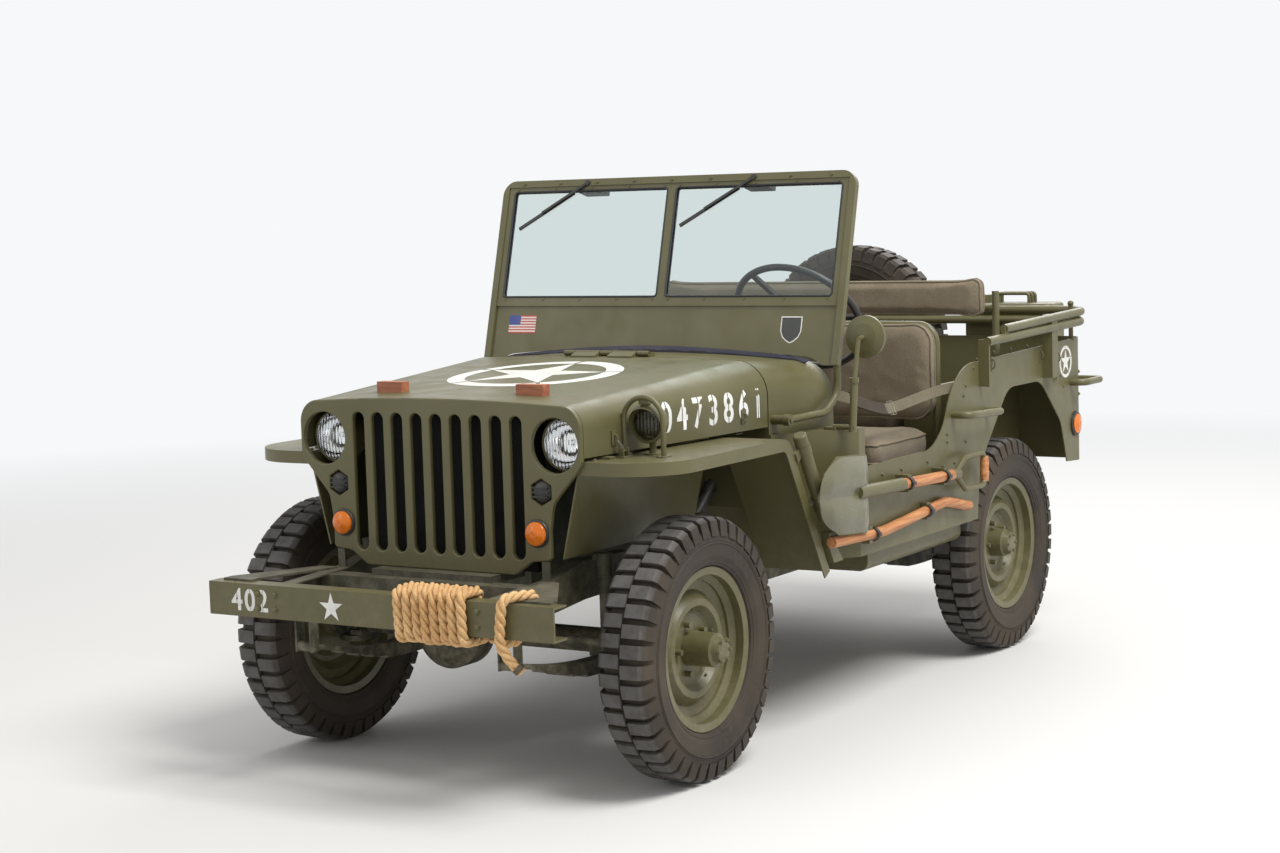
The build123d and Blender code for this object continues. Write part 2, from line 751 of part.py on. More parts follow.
# Leaf springs with their eyes, hangers and shackles, one pack a wheel
with BuildPart() as leaf_springs:
    # columns: axle x, half length of the main leaf
    for axle_x, half in [(FRONT_AXLE_X, FRONT_SPRING_HALF), (REAR_AXLE_X, REAR_SPRING_HALF)]:
        for side in (-1, 1):
            spring_plane = Plane(
                origin=(axle_x, side * SPRING_Y + SPRING_WIDTH / 2, 0),
                x_dir=(1, 0, 0),
                z_dir=(0, -1, 0),
            )
            with BuildSketch(spring_plane):
                for leaf in range(LEAF_COUNT):
                    reach = half * (1 - leaf / (LEAF_COUNT + 1))
                    rise = SPRING_RISE * (reach / half) ** 2
                    top = SPRING_SEAT_TOP - leaf * LEAF_THICKNESS
                    with BuildLine():
                        upper = ThreePointArc((-reach, top + rise), (0, top), (reach, top + rise))
                        under = top - LEAF_THICKNESS - FIT_GAP
                        lower = ThreePointArc(
                            (-reach, under + rise), (0, under), (reach, under + rise)
                        )
                        Line(upper @ 0, lower @ 0)
                        Line(upper @ 1, lower @ 1)
                    make_face()
                for end in (-1, 1):
                    with Locations((end * half, SPRING_SEAT_TOP + SPRING_RISE - 8)):
                        Circle(EYE_RADIUS)
            extrude(amount=SPRING_WIDTH)
            for end in (-1, 1):
                eye_x = axle_x + end * half
                eye_z = SPRING_SEAT_TOP + SPRING_RISE - 8
                hanger_top = min(rail_height(eye_x - 17), rail_height(eye_x + 17))
                for plate_y in (-1, 1):
                    plate_middle = side * SPRING_Y + plate_y * (SPRING_WIDTH + 6) / 2
                    with BuildSketch(Plane.XY.offset(eye_z - EYE_RADIUS)):
                        with Locations((eye_x, plate_middle)):
                            Rectangle(34, 6)
                    extrude(amount=hanger_top - eye_z + EYE_RADIUS)

# Dampers between frame and axle
with BuildPart() as shock_absorbers:
    # columns: x, y, foot height, top height
    for x, y, foot, top in [(1180, 402, 392, 616), (-1010, 402, 392, 600)]:
        for side in (-1, 1):
            with BuildSketch(Plane.XY.offset(foot)):
                with Locations((x, side * y)):
                    Circle(18)
            extrude(amount=0.55 * (top - foot))
            with BuildSketch(Plane.XY.offset(foot + 0.5 * (top - foot))):
                with Locations((x, side * y)):
                    Circle(22)
            extrude(amount=0.5 * (top - foot))
            pin_plane = Plane(
                origin=(x, side * (y + 20), top - 10), x_dir=(1, 0, 0), z_dir=(0, -side, 0)
            )
            with BuildSketch(pin_plane):
                Circle(11)
            extrude(amount=y + 20 - RAIL_Y - RAIL_WIDTH / 2)
save_together("springs_and_dampers", leaf_springs, shock_absorbers)

# Engine as one plain block, radiator, gearbox with its shafts, exhaust
ENGINE_LENGTH = 560
ENGINE_FRONT_X = 1190
with BuildPart() as engine:
    with BuildSketch(Plane.XY.offset(510)):
        with Locations((ENGINE_FRONT_X - ENGINE_LENGTH / 2, 0)):
            Rectangle(ENGINE_LENGTH, 330)
    extrude(amount=400)
save(engine, "engine")

with BuildPart() as radiator:
    with BuildSketch(Plane.XY.offset(GRILLE_LOW)):
        with Locations((RADIATOR_X, 0)):
            Rectangle(RADIATOR_DEPTH, 560)
    extrude(amount=RADIATOR_TOP - GRILLE_LOW)
save(radiator, "radiator")

GEARBOX_REAR_X = -60
SHAFT_Z = 368
SHAFT_RADIUS = 26
with BuildPart() as transmission:
    with BuildSketch(Plane.YZ.offset(ENGINE_FRONT_X - ENGINE_LENGTH)):
        with Locations((0, 560)):
            Circle(74)
    with BuildSketch(Plane.YZ.offset(GEARBOX_REAR_X + 130)):
        with Locations((0, 440)):
            Circle(66)
    loft()
    with BuildSketch(Plane.XY.offset(SHAFT_Z - 34)):
        with Locations((GEARBOX_REAR_X + 80, DIFFERENTIAL_Y / 2)):
            Rectangle(150, 300)
            fillet(vertices(), 30)
    extrude(amount=150)
    # columns: start x, end x
    for start_x, end_x in [
        (GEARBOX_REAR_X + 150, FRONT_AXLE_X - PINION_REACH),
        (GEARBOX_REAR_X + 10, REAR_AXLE_X + PINION_REACH),
    ]:
        shaft_plane = Plane(
            origin=(start_x, DIFFERENTIAL_Y, SHAFT_Z),
            x_dir=(0, 1, 0),
            z_dir=(end_x - start_x, 0, 0),
        )
        with BuildSketch(shaft_plane):
            Circle(SHAFT_RADIUS)
        extrude(amount=abs(end_x - start_x))
save(transmission, "transmission")

MUFFLER_Y = -500
MUFFLER_Z = 430
with BuildPart() as exhaust:
    with BuildSketch(Plane.YZ.offset(-120)):
        with Locations((MUFFLER_Y, MUFFLER_Z)):
            Ellipse(80, 50)
    extrude(amount=420)
    with BuildLine() as pipe_path:
        FilletPolyline(
            (290, MUFFLER_Y, MUFFLER_Z),
            (390, MUFFLER_Y, MUFFLER_Z),
            (500, -420, 348),
            (610, -268, 348),
            (720, -240, 500),
            (740, -240, 610),
            (740, -165, 610),
            radius=40,
        )
    with BuildSketch(Plane(origin=pipe_path.line @ 0, z_dir=pipe_path.line % 0)):
        Circle(22)
    sweep()
    with BuildLine() as tail_path:
        FilletPolyline(
            (-110, MUFFLER_Y, MUFFLER_Z), (-430, MUFFLER_Y, MUFFLER_Z), (-500, -690, 410), radius=60
        )
    with BuildSketch(Plane(origin=tail_path.line @ 0, z_dir=tail_path.line % 0)):
        Circle(20)
    sweep()
save(exhaust, "exhaust")


# Body tub: side panels, floor, wheel houses and rear panel
def side_outline():
    """The side panel's outline, from the door's front edge to the rear corner."""
    with BuildLine() as outline:
        Polyline((DOOR_FRONT_X, TUB_BOTTOM), (DOOR_FRONT_X, ROCKER_TOP), (-184, ROCKER_TOP))
        rise = ThreePointArc((-184, ROCKER_TOP), (-285, 788), (-352, 870))
        hip = ThreePointArc(rise @ 1, (-452, 975), (-580, 1003))
        corner_x = TUB_REAR_X + CORNER_DEPTH
        Line(hip @ 1, (corner_x, TUB_REAR_TOP - 1))
        Line((corner_x, TUB_REAR_TOP - 1), (corner_x, CORNER_BOTTOM))
        arch = FilletPolyline(
            (REAR_AXLE_X - 421, CORNER_BOTTOM + 6),
            (REAR_AXLE_X - 368, 740),
            (REAR_AXLE_X - 188, ARCH_TOP),
            (REAR_AXLE_X + 92, ARCH_TOP),
            (REAR_AXLE_X + 332, 660),
            (REAR_AXLE_X + 357, TUB_BOTTOM),
            radius=[110, 120, 120, 160],
        )
        Line((corner_x, CORNER_BOTTOM), arch @ 0)
        Line(arch @ 1, (DOOR_FRONT_X, TUB_BOTTOM))
    return outline


def wheel_house(side):
    """A wheel house with a round rear corner, open below and towards the wheel's side."""
    house_rear = TUB_REAR_X + SHEET / 2
    y_outer = side * (TUB_HALF_WIDTH - SHEET / 2)
    house_y = sorted([side * WHEELHOUSE_Y, y_outer])
    room_y = sorted([side * (WHEELHOUSE_Y + SHEET), side * TUB_HALF_WIDTH])
    with BuildPart() as house:
        add(block((house_rear, WHEELHOUSE_FRONT_X), house_y, (REAR_FLOOR_Z - SHEET, WHEELHOUSE_TOP)))
        outer_edge = house.edges().filter_by(Axis.Z).sort_by_distance(
            (house_rear, y_outer, WHEELHOUSE_TOP)
        )[0]
        fillet(outer_edge, CORNER_RADIUS - SHEET / 2)
        add(
            block(
                (house_rear + SHEET, WHEELHOUSE_FRONT_X - SHEET), room_y,
                (REAR_FLOOR_Z - 2 * SHEET, WHEELHOUSE_TOP - SHEET),
            ),
            mode=Mode.SUBTRACT,
        )
    return house.part


with BuildPart() as body_tub:
    outline = side_outline()
    for side in (-1, 1):
        wall_plane = Plane(
            origin=(0, side * TUB_HALF_WIDTH, 0), x_dir=(1, 0, 0), z_dir=(0, -1, 0)
        )
        with BuildSketch(wall_plane):
            with BuildLine():
                add(outline.line)
            make_face()
        extrude(amount=side * SHEET)
    # Floors, riser and the toe board's foot
    inner = TUB_HALF_WIDTH - SHEET / 2
    with BuildSketch(Plane.XY.offset(FLOOR_Z - SHEET)):
        with Locations(((DOOR_FRONT_X + RISER_X) / 2, 0)):
            Rectangle(DOOR_FRONT_X - RISER_X, 2 * inner)
    extrude(amount=SHEET)
    with BuildSketch(Plane.XY.offset(FLOOR_Z - SHEET)):
        with Locations((RISER_X - SHEET / 2, 0)):
            Rectangle(SHEET, 2 * inner)
    extrude(amount=REAR_FLOOR_Z - FLOOR_Z + SHEET)
    with BuildSketch(Plane.XY.offset(REAR_FLOOR_Z - SHEET)):
        with Locations(((TUB_REAR_X + RISER_X) / 2, 0)):
            Rectangle(RISER_X - TUB_REAR_X - SHEET, 2 * WHEELHOUSE_Y)
    extrude(amount=SHEET)
    add(tunnel(TUNNEL_REAR_X, DOOR_FRONT_X, 0))
    add(tunnel(TUNNEL_REAR_X + SHEET, DOOR_FRONT_X + 1, -SHEET), mode=Mode.SUBTRACT)
    # Wheel houses
    for side in (-1, 1):
        add(wheel_house(side))
    # Rear panel with its round corners
    with BuildSketch(Plane.XY.offset(CORNER_BOTTOM)):
        with Locations((TUB_REAR_X + CORNER_DEPTH, 0)):
            Rectangle(2 * CORNER_DEPTH, 2 * TUB_HALF_WIDTH)
            fillet(vertices(), CORNER_RADIUS)
            offset(amount=-SHEET, kind=Kind.INTERSECTION, mode=Mode.SUBTRACT)
            Rectangle(
                2 * CORNER_DEPTH, 2 * TUB_HALF_WIDTH + 2,
                align=(Align.MIN, Align.CENTER), mode=Mode.SUBTRACT,
            )
    extrude(amount=TUB_REAR_TOP - CORNER_BOTTOM)
save(body_tub, "body_tub")


# Cowl: domed top, tapering sides, fire wall, toe board and dash
COWL_REAR_X = DOOR_FRONT_X + FIT_GAP
# columns: x, half width, crest, drop at the corner, corner radius
COWL_STATIONS = [
    (COWL_REAR_X, COWL_REAR_HALF, COWL_REAR_CREST, COWL_REAR_CORNER_DROP, COWL_REAR_CORNER),
    (COWL_FRONT_X, COWL_FRONT_HALF, COWL_CREST, COWL_CORNER_DROP, COWL_CORNER),
]
TOE_START_X = COWL_REAR_X + 110
TOE_TOP_Z = 660
LEDGE_TAPER_X = COWL_REAR_X + 40
LEDGE_FRONT_HALF = COWL_FRONT_HALF + 6
COLUMN_RADIUS = 19
COLUMN_GAP = 2
STEERING_CENTRE = Vector(-70, 345, 1178)
COLUMN_DIRECTION = Vector(0.78, 0, -0.626).normalized()


def cowl_plan(inset):
    """The lower cowl's outline seen from above, open to the doors when it is inset."""
    half = TUB_HALF_WIDTH - inset
    front = LEDGE_FRONT_HALF - inset
    with BuildSketch(Plane.XY) as plan:
        Polygon(
            (COWL_REAR_X - inset, half),
            (LEDGE_TAPER_X, half),
            (COWL_FRONT_X - inset, front),
            (COWL_FRONT_X - inset, -front),
            (LEDGE_TAPER_X, -half),
            (COWL_REAR_X - inset, -half),
            align=None,
        )
    return plan.sketch


def hinge_leaf(y_low, y_high, direction):
    """A hinge barrel with its leaf, reaching to the front (1) or to the rear (-1)."""
    with BuildPart() as leaf:
        add(disc((HOOD_HINGE_X, y_low, HOOD_HINGE_Z), (0, 1, 0), HOOD_BARREL_RADIUS, y_high - y_low))
        with BuildSketch(Plane.XZ.offset(-y_high)):
            Polygon(
                (HOOD_HINGE_X, HOOD_HINGE_Z + HOOD_BARREL_RADIUS - 1),
                (HOOD_HINGE_X + direction * 34, COWL_CREST + 3),
                (HOOD_HINGE_X + direction * 34, COWL_CREST - 3),
                (HOOD_HINGE_X + direction * 4, COWL_CREST - 2),
                (HOOD_HINGE_X, HOOD_HINGE_Z - 4),
                align=None,
            )
        extrude(amount=y_high - y_low)
    return leaf.part


with BuildPart() as toe_board:
    with BuildSketch(Plane.XZ.offset(-TUB_HALF_WIDTH)):
        with BuildLine():
            Polyline(
                (COWL_REAR_X, FLOOR_Z),
                (TOE_START_X, FLOOR_Z),
                (COWL_FRONT_X - 1, TOE_TOP_Z),
                (COWL_FRONT_X - 1, TOE_TOP_Z - SHEET),
                (TOE_START_X + 2, FLOOR_Z - SHEET),
                (COWL_REAR_X, FLOOR_Z - SHEET),
                close=True,
            )
        make_face()
    extrude(amount=2 * TUB_HALF_WIDTH)
    with BuildSketch(Plane.XY.offset(TUB_BOTTOM)):
        add(cowl_plan(SHEET / 2))
    extrude(amount=TOE_TOP_Z, mode=Mode.INTERSECT)

with BuildPart() as cowl:
    with BuildSketch(Plane.XY.offset(TUB_BOTTOM)):
        add(cowl_plan(0))
    extrude(amount=COWL_LEDGE - TUB_BOTTOM)
    add(crown(COWL_STATIONS, COWL_LEDGE - SHEET, 0, 0))
    with BuildSketch(Plane.XY.offset(TUB_BOTTOM - SHEET)):
        add(cowl_plan(SHEET))
    extrude(amount=COWL_LEDGE - TUB_BOTTOM, mode=Mode.SUBTRACT)
    add(crown(COWL_STATIONS, COWL_LEDGE - 2 * SHEET, -SHEET, -SHEET), mode=Mode.SUBTRACT)
    add(toe_board.part)
    add(tunnel(COWL_REAR_X, COWL_FRONT_X, 0))
    add(tunnel(COWL_REAR_X - 1, COWL_FRONT_X + 1, -SHEET), mode=Mode.SUBTRACT)
    with BuildSketch(Plane.XZ.offset(-TUB_HALF_WIDTH - 1)):
        Polygon(
            (TOE_START_X, TUB_BOTTOM - 1),
            (TOE_START_X, FLOOR_Z - SHEET),
            (COWL_FRONT_X - 1, TOE_TOP_Z - SHEET),
            (COWL_FRONT_X + 1, TOE_TOP_Z - SHEET),
            (COWL_FRONT_X + 1, TUB_BOTTOM - 1),
            align=None,
        )
    extrude(amount=2 * TUB_HALF_WIDTH + 2, mode=Mode.SUBTRACT)
    # Dash, across the rear edge
    with BuildSketch(across(COWL_REAR_X + SHEET)):
        with BuildLine():
            add(
                shell_section(
                    COWL_REAR_HALF, COWL_REAR_CREST, COWL_REAR_CORNER_DROP, COWL_REAR_CORNER,
                    COWL_LEDGE - SHEET / 2, -SHEET / 2,
                )
            )
        make_face()
    extrude(amount=SHEET)
    # Passage for the steering column and pins for the windshield's legs
    passage_start = STEERING_CENTRE + COLUMN_DIRECTION * 330
    with BuildSketch(Plane(origin=passage_start, z_dir=COLUMN_DIRECTION)):
        Circle(COLUMN_RADIUS + COLUMN_GAP)
    extrude(amount=480, mode=Mode.SUBTRACT)
    boss_y = COWL_FRONT_HALF - 10
    for side in (-1, 1):
        pin_start = (HINGE_X, side * boss_y, HINGE_Z)
        add(disc(pin_start, (0, side, 0), 2 * HINGE_PIN_RADIUS, HINGE_Y - 12 - boss_y))
        add(disc(pin_start, (0, side, 0), HINGE_PIN_RADIUS, HINGE_Y + 14 - boss_y))
    # Hinge barrels for the hood's pin
    for y_low, y_high in COWL_BARRELS:
        add(hinge_leaf(y_low, y_high, -1))
    pin_hole = disc(
        (HOOD_HINGE_X, -160, HOOD_HINGE_Z), (0, 1, 0), HOOD_PIN_RADIUS + SPINDLE_GAP, 320
    )
    add(pin_hole, mode=Mode.SUBTRACT)
save(cowl, "cowl")

# Hood: one shell, with the wood rests for the folded windshield
HOOD_REAR_X = COWL_FRONT_X + HOOD_GAP
# columns: x, half width, crest, drop at the corner, corner radius
HOOD_STATIONS = [
    (HOOD_REAR_X, COWL_FRONT_HALF, COWL_CREST, COWL_CORNER_DROP, COWL_CORNER),
    (HOOD_FRONT_X, HOOD_FRONT_HALF, HOOD_FRONT_CREST, HOOD_FRONT_CORNER_DROP, HOOD_FRONT_CORNER),
]
with BuildPart() as hood:
    add(crown(HOOD_STATIONS, HOOD_LOW, 0, 0))
    add(crown(HOOD_STATIONS, HOOD_LOW - 10, -SHEET, 0), mode=Mode.SUBTRACT)
    for y_low, y_high in HOOD_BARRELS:
        add(hinge_leaf(y_low, y_high, 1))
    add(disc((HOOD_HINGE_X, -148, HOOD_HINGE_Z), (0, 1, 0), HOOD_PIN_RADIUS, 296))
save(hood, "hood")

HOOD_SLOPE = (COWL_CREST - HOOD_FRONT_CREST) / (HOOD_FRONT_X - HOOD_REAR_X)
block_top = HOOD_FRONT_CREST + HOOD_SLOPE * (HOOD_FRONT_X - HOOD_BLOCK_X) + HOOD_BLOCK_HEIGHT
with BuildPart() as hood_blocks:
    for side in (-1, 1):
        with BuildSketch(Plane.XY.offset(HOOD_FRONT_CREST - 20)):
            with Locations((HOOD_BLOCK_X, side * HOOD_BLOCK_Y)):
                Rectangle(HOOD_BLOCK_DEPTH, HOOD_BLOCK_LENGTH)
                fillet(vertices(), 6)
        extrude(amount=block_top - HOOD_FRONT_CREST + 20)
    add(crown(HOOD_STATIONS, HOOD_LOW, FIT_GAP / 3, 0), mode=Mode.SUBTRACT)
save(hood_blocks, "hood_blocks")

# Grille: a stamped plate with nine round-ended slots and the lamp holes
with BuildPart() as grille:
    with BuildSketch(across(GRILLE_X - GRILLE_THICKNESS)):
        with BuildLine():
            side_line = FilletPolyline(
                (0, GRILLE_LOW), (250, GRILLE_LOW), (304, 616), (365, 622), (365, 700), (376, 771),
                (466, 872), (480, 930), (480, 1060), (0, 1060),
                radius=[20, 20, 12, 30, 60, 60, 40, 5],
            )
            mirror(side_line, about=Plane.YZ)
        make_face()
        with BuildLine():
            add(
                shell_section(
                    HOOD_FRONT_HALF, HOOD_FRONT_CREST, HOOD_FRONT_CORNER_DROP,
                    HOOD_FRONT_CORNER, 500, 0,
                )
            )
        make_face(mode=Mode.INTERSECT)
    extrude(amount=GRILLE_THICKNESS)
    with BuildSketch(across(GRILLE_X)):
        with Locations((0, (SLOT_TOP + SLOT_BOTTOM) / 2)):
            with GridLocations(SLOT_PITCH, 1, SLOT_COUNT, 1):
                SlotOverall(SLOT_TOP - SLOT_BOTTOM, SLOT_WIDTH, rotation=90)
        with Locations((-HEADLAMP_Y, HEADLAMP_Z), (HEADLAMP_Y, HEADLAMP_Z)):
            Circle(HEADLAMP_HOLE_RADIUS)
        with Locations((-MARKER_Y, MARKER_Z), (MARKER_Y, MARKER_Z)):
            RegularPolygon(MARKER_HOLE_RADIUS, 6, rotation=30)
    extrude(amount=-GRILLE_THICKNESS, mode=Mode.SUBTRACT)
    fillet(grille.edges().group_by(Axis.X)[-1], GRILLE_EDGE)
save(grille, "grille")

# Lamps behind the grille and the small lamps on it
with BuildPart() as headlamps:
    for side in (-1, 1):
        lamp_plane = Plane(
            origin=(0, side * HEADLAMP_Y, HEADLAMP_Z), x_dir=(1, 0, 0), z_dir=(0, -1, 0)
        )
        with BuildSketch(lamp_plane):
            Polygon(
                (1222, 0), (1224, 34), (1244, 58), (1290, 70), (1316, 70), (1316, 74), (1334, 74),
                (1338, HEADLAMP_RADIUS), (1332, HEADLAMP_RADIUS - 2), (1336, 44), (1341, 0),
                align=None,
            )
        revolve(axis=Axis((0, side * HEADLAMP_Y, HEADLAMP_Z), (1, 0, 0)))
        foot = sorted([side * 430, side * 500])
        add(block((1262, 1290), foot, (FENDER_TOP, FENDER_TOP + 6)))

def lens(x, y, z, radius, rim):
    """A domed lens in its rim, facing the front."""
    with BuildPart() as dome:
        lens_plane = Plane(origin=(x, y, z), x_dir=(1, 0, 0), z_dir=(0, -1, 0))
        with BuildSketch(lens_plane):
            Polygon(
                (0, 0), (0, radius + rim), (6, radius + rim), (6, radius), (16, 0.85 * radius),
                (23, 0.5 * radius), (25, 0.15 * radius), (25, 0),
                align=None,
            )
        revolve(axis=Axis((x, y, z), (1, 0, 0)))
    return dome.part


with BuildPart() as marker_lamps:
    marker_x = GRILLE_X - GRILLE_THICKNESS - 3
    for side in (-1, 1):
        add(disc((marker_x, side * MARKER_Y, MARKER_Z), (1, 0, 0), MARKER_HOLE_RADIUS + 6, 3))
        add(lens(marker_x, side * MARKER_Y, MARKER_Z, MARKER_HOLE_RADIUS - 8, 0))
        add(lens(GRILLE_X, side * INDICATOR_Y, INDICATOR_Z, INDICATOR_RADIUS, 3))
save(marker_lamps, "marker_lamps")

# Front fenders: flat top, folded lip, round front corner, rear flap and inner apron
with BuildPart() as front_fenders:
    trims = []
    for side in (-1, 1):
        for depth, y_in, y_out in [
            (SHEET, 440, FENDER_HALF),
            (FENDER_LIP, FENDER_HALF - SHEET, FENDER_HALF),
        ]:
            side_plane = Plane(origin=(0, side * y_out, 0), x_dir=(1, 0, 0), z_dir=(0, -1, 0))
            with BuildSketch(side_plane):
                with BuildLine():
                    FilletPolyline(
                        (FENDER_FRONT_X, FENDER_TOP),
                        (FENDER_REAR_X, FENDER_TOP),
                        (FLAP_TIP_X, FLAP_TIP_Z),
                        radius=60,
                    )
                    offset(amount=depth, side=Side.LEFT)
                make_face()
            extrude(amount=side * (y_out - y_in))
        lip_sketch_plane = Plane.XY.offset(FENDER_TOP - FENDER_LIP)
        corner_middle = (
            (FENDER_REAR_X + 120 + FENDER_FRONT_X) / 2,
            side * (440 + FENDER_HALF) / 2,
        )
        with BuildSketch(lip_sketch_plane):
            with Locations(corner_middle):
                lip_face = Rectangle(FENDER_FRONT_X - FENDER_REAR_X - 120, FENDER_HALF - 440)
            corner = lip_face.vertices().sort_by_distance(
                (FENDER_FRONT_X, side * FENDER_HALF, 0)
            )[0]
            fillet(corner, FENDER_CORNER)
            offset(amount=-SHEET, kind=Kind.INTERSECTION, mode=Mode.SUBTRACT)
        extrude(amount=FENDER_LIP - SHEET / 2)
        # Plan outline of the whole fender
        with BuildSketch(Plane.XY.offset(FLAP_TIP_Z - 30)) as plan:
            with BuildLine():
                plan_line = FilletPolyline(
                    (FENDER_FRONT_X, side * 455),
                    (FENDER_FRONT_X, side * FENDER_HALF),
                    (FLAP_TIP_X - 40, side * FENDER_HALF),
                    (FLAP_TIP_X - 40, side * 492),
                    (FENDER_REAR_X, side * 492),
                    radius=[FENDER_CORNER, 1, 1],
                )
                Line(plan_line @ 1, plan_line @ 0)
            make_face()
        trims.append(extrude(amount=FENDER_TOP - FLAP_TIP_Z + 60, mode=Mode.PRIVATE))
    add(trims[0] + trims[1], mode=Mode.INTERSECT)
    for side in (-1, 1):
        with BuildSketch(across(FENDER_REAR_X + 10)):
            Polygon(
                (side * 452, FENDER_TOP - SHEET),
                (side * 457, FENDER_TOP - SHEET),
                (side * 396, 626),
                (side * 391, 626),
                align=None,
            )
        extrude(amount=GRILLE_X - GRILLE_THICKNESS - FENDER_REAR_X - 14)
save(front_fenders, "front_fenders")

# Headlamp's small neighbour on the left fender, under its hoop
with BuildPart() as blackout_lamp:
    lamp_plane = Plane(
        origin=(0, BLACKOUT_Y, BLACKOUT_Z), x_dir=(1, 0, 0), z_dir=(0, -1, 0)
    )
    with BuildSketch(lamp_plane):
        Polygon(
            (1118, 0), (1120, 20), (1134, 36), (1172, 42), (1186, 42), (1186, 38), (1190, 0),
            align=None,
        )
    revolve(axis=Axis((0, BLACKOUT_Y, BLACKOUT_Z), (1, 0, 0)))
    add(block((1178, 1200), (BLACKOUT_Y - 20, BLACKOUT_Y + 20), (BLACKOUT_Z + 40, 1027)))
    add(disc((1155, BLACKOUT_Y, FENDER_TOP), (0, 0, 1), 9, BLACKOUT_Z - FENDER_TOP - 20))
    guard_points = [
        (1200, BLACKOUT_Y - 50, FENDER_TOP),
        (1200, BLACKOUT_Y - 50, BLACKOUT_TOP),
        (1200, BLACKOUT_Y + 50, BLACKOUT_TOP),
        (1200, BLACKOUT_Y + 50, FENDER_TOP),
    ]
    add(tube(guard_points, 7, 30))
save_together("front_lamps", headlamps, blackout_lamp)

# Windshield: tube frame, lower panel, centre post, legs to the pins on the cowl
SCREEN = Plane(
    origin=(SCREEN_BOTTOM_X, 0, SCREEN_BOTTOM_Z),
    x_dir=(0, 1, 0),
    z_dir=(SCREEN_TOP_Z - SCREEN_BOTTOM_Z, 0, SCREEN_BOTTOM_X - SCREEN_TOP_X),
)
SCREEN_LENGTH = hypot(SCREEN_TOP_X - SCREEN_BOTTOM_X, SCREEN_TOP_Z - SCREEN_BOTTOM_Z)
BAND_OUTER = SCREEN_HALF + SCREEN_TUBE_RADIUS
BAND_INNER = SCREEN_HALF - SCREEN_TUBE_RADIUS
BAND_TOP = SCREEN_LENGTH - 2 * SCREEN_TUBE_RADIUS
cowl_rear = [(x, *COWL_STATIONS[0][1:]) for x in (120, 320)]
with BuildPart() as windshield_frame:
    with BuildSketch(SCREEN.offset(-SCREEN_TUBE_RADIUS)):
        with Locations((0, SCREEN_LENGTH / 2)):
            Rectangle(2 * BAND_OUTER, SCREEN_LENGTH)
        fillet(vertices().group_by(Axis.Y)[-1], 48)
        with Locations((0, BAND_TOP / 2 - 1)):
            inner_face = Rectangle(2 * BAND_INNER, BAND_TOP + 2, mode=Mode.PRIVATE)
        add(inner_face, mode=Mode.SUBTRACT)
    extrude(amount=2 * SCREEN_TUBE_RADIUS)
    with BuildSketch(SCREEN.offset(-GLASS_FRAME_DEPTH / 2)):
        with Locations((0, (GLASS_FRAME_LOW + BAND_TOP) / 2)):
            Rectangle(2 * BAND_INNER, BAND_TOP - GLASS_FRAME_LOW)
        with Locations((-PANE_MIDDLE, PANE_HEIGHT_MIDDLE), (PANE_MIDDLE, PANE_HEIGHT_MIDDLE)):
            RectangleRounded(PANE_WIDTH, PANE_HEIGHT, 18, mode=Mode.SUBTRACT)
    extrude(amount=GLASS_FRAME_DEPTH)
    with BuildSketch(SCREEN.offset(-SHEET / 2)):
        with Locations((0, GLASS_FRAME_LOW / 2)):
            Rectangle(2 * BAND_INNER, GLASS_FRAME_LOW)
    extrude(amount=SHEET)
    add(crown(cowl_rear, 700, SEAL_ROOM, 0), mode=Mode.SUBTRACT)
    for side in (-1, 1):
        leg_points = [
            SCREEN.from_local_coords((side * SCREEN_HALF, 20, 0)),
            (234, side * SCREEN_HALF, 972),
            (310, side * (SCREEN_HALF - 6), 920),
            (HINGE_X, side * HINGE_Y, HINGE_Z),
        ]
        add(tube(leg_points, SCREEN_TUBE_RADIUS, 60))
        eye_start = (HINGE_X, side * (HINGE_Y - 10), HINGE_Z)
        add(disc(eye_start, (0, side, 0), 2 * HINGE_PIN_RADIUS + 3, 20))
        bore_start = (HINGE_X, side * (HINGE_Y - 20), HINGE_Z)
        bore = disc(bore_start, (0, side, 0), HINGE_PIN_RADIUS + SPINDLE_GAP, 40)
        add(bore, mode=Mode.SUBTRACT)
save(windshield_frame, "windshield_frame")

with BuildPart() as windshield_glass:
    with BuildSketch(SCREEN.offset(-GLASS_THICKNESS / 2)):
        with Locations((-PANE_MIDDLE, PANE_HEIGHT_MIDDLE), (PANE_MIDDLE, PANE_HEIGHT_MIDDLE)):
            RectangleRounded(PANE_WIDTH - 2 * FIT_GAP, PANE_HEIGHT - 2 * FIT_GAP, 18 - FIT_GAP)
    extrude(amount=GLASS_THICKNESS)
save(windshield_glass, "windshield_glass")

with BuildPart() as wipers:
    for pivot_y in (-WIPER_Y - 12, WIPER_Y - 12):
        with BuildSketch(SCREEN.offset(SCREEN_TUBE_RADIUS)):
            with Locations((pivot_y, WIPER_HEIGHT)):
                Circle(8)
        extrude(amount=6.4)
        # columns: start and end along the wiper, width, low and high side over the screen
        for start, end, width, low, high in [
            (0, 190, 8, SCREEN_TUBE_RADIUS + FIT_GAP, SCREEN_TUBE_RADIUS + 5),
            (60, WIPER_LENGTH, 10, 3, 9),
            (165, 190, 8, 8, SCREEN_TUBE_RADIUS + 2),
        ]:
            with BuildSketch(SCREEN.offset(low)):
                with Locations(Location((pivot_y, WIPER_HEIGHT, 0), (0, 0, 180 + WIPER_SLANT))):
                    with Locations(((start + end) / 2, 0)):
                        Rectangle(end - start, width)
            extrude(amount=high - low)
        with BuildSketch(SCREEN.offset(-SCREEN_TUBE_RADIUS)):
            with Locations((pivot_y, WIPER_HEIGHT - 8)):
                Rectangle(86, 40)
        extrude(amount=-44)
save(wipers, "wipers")

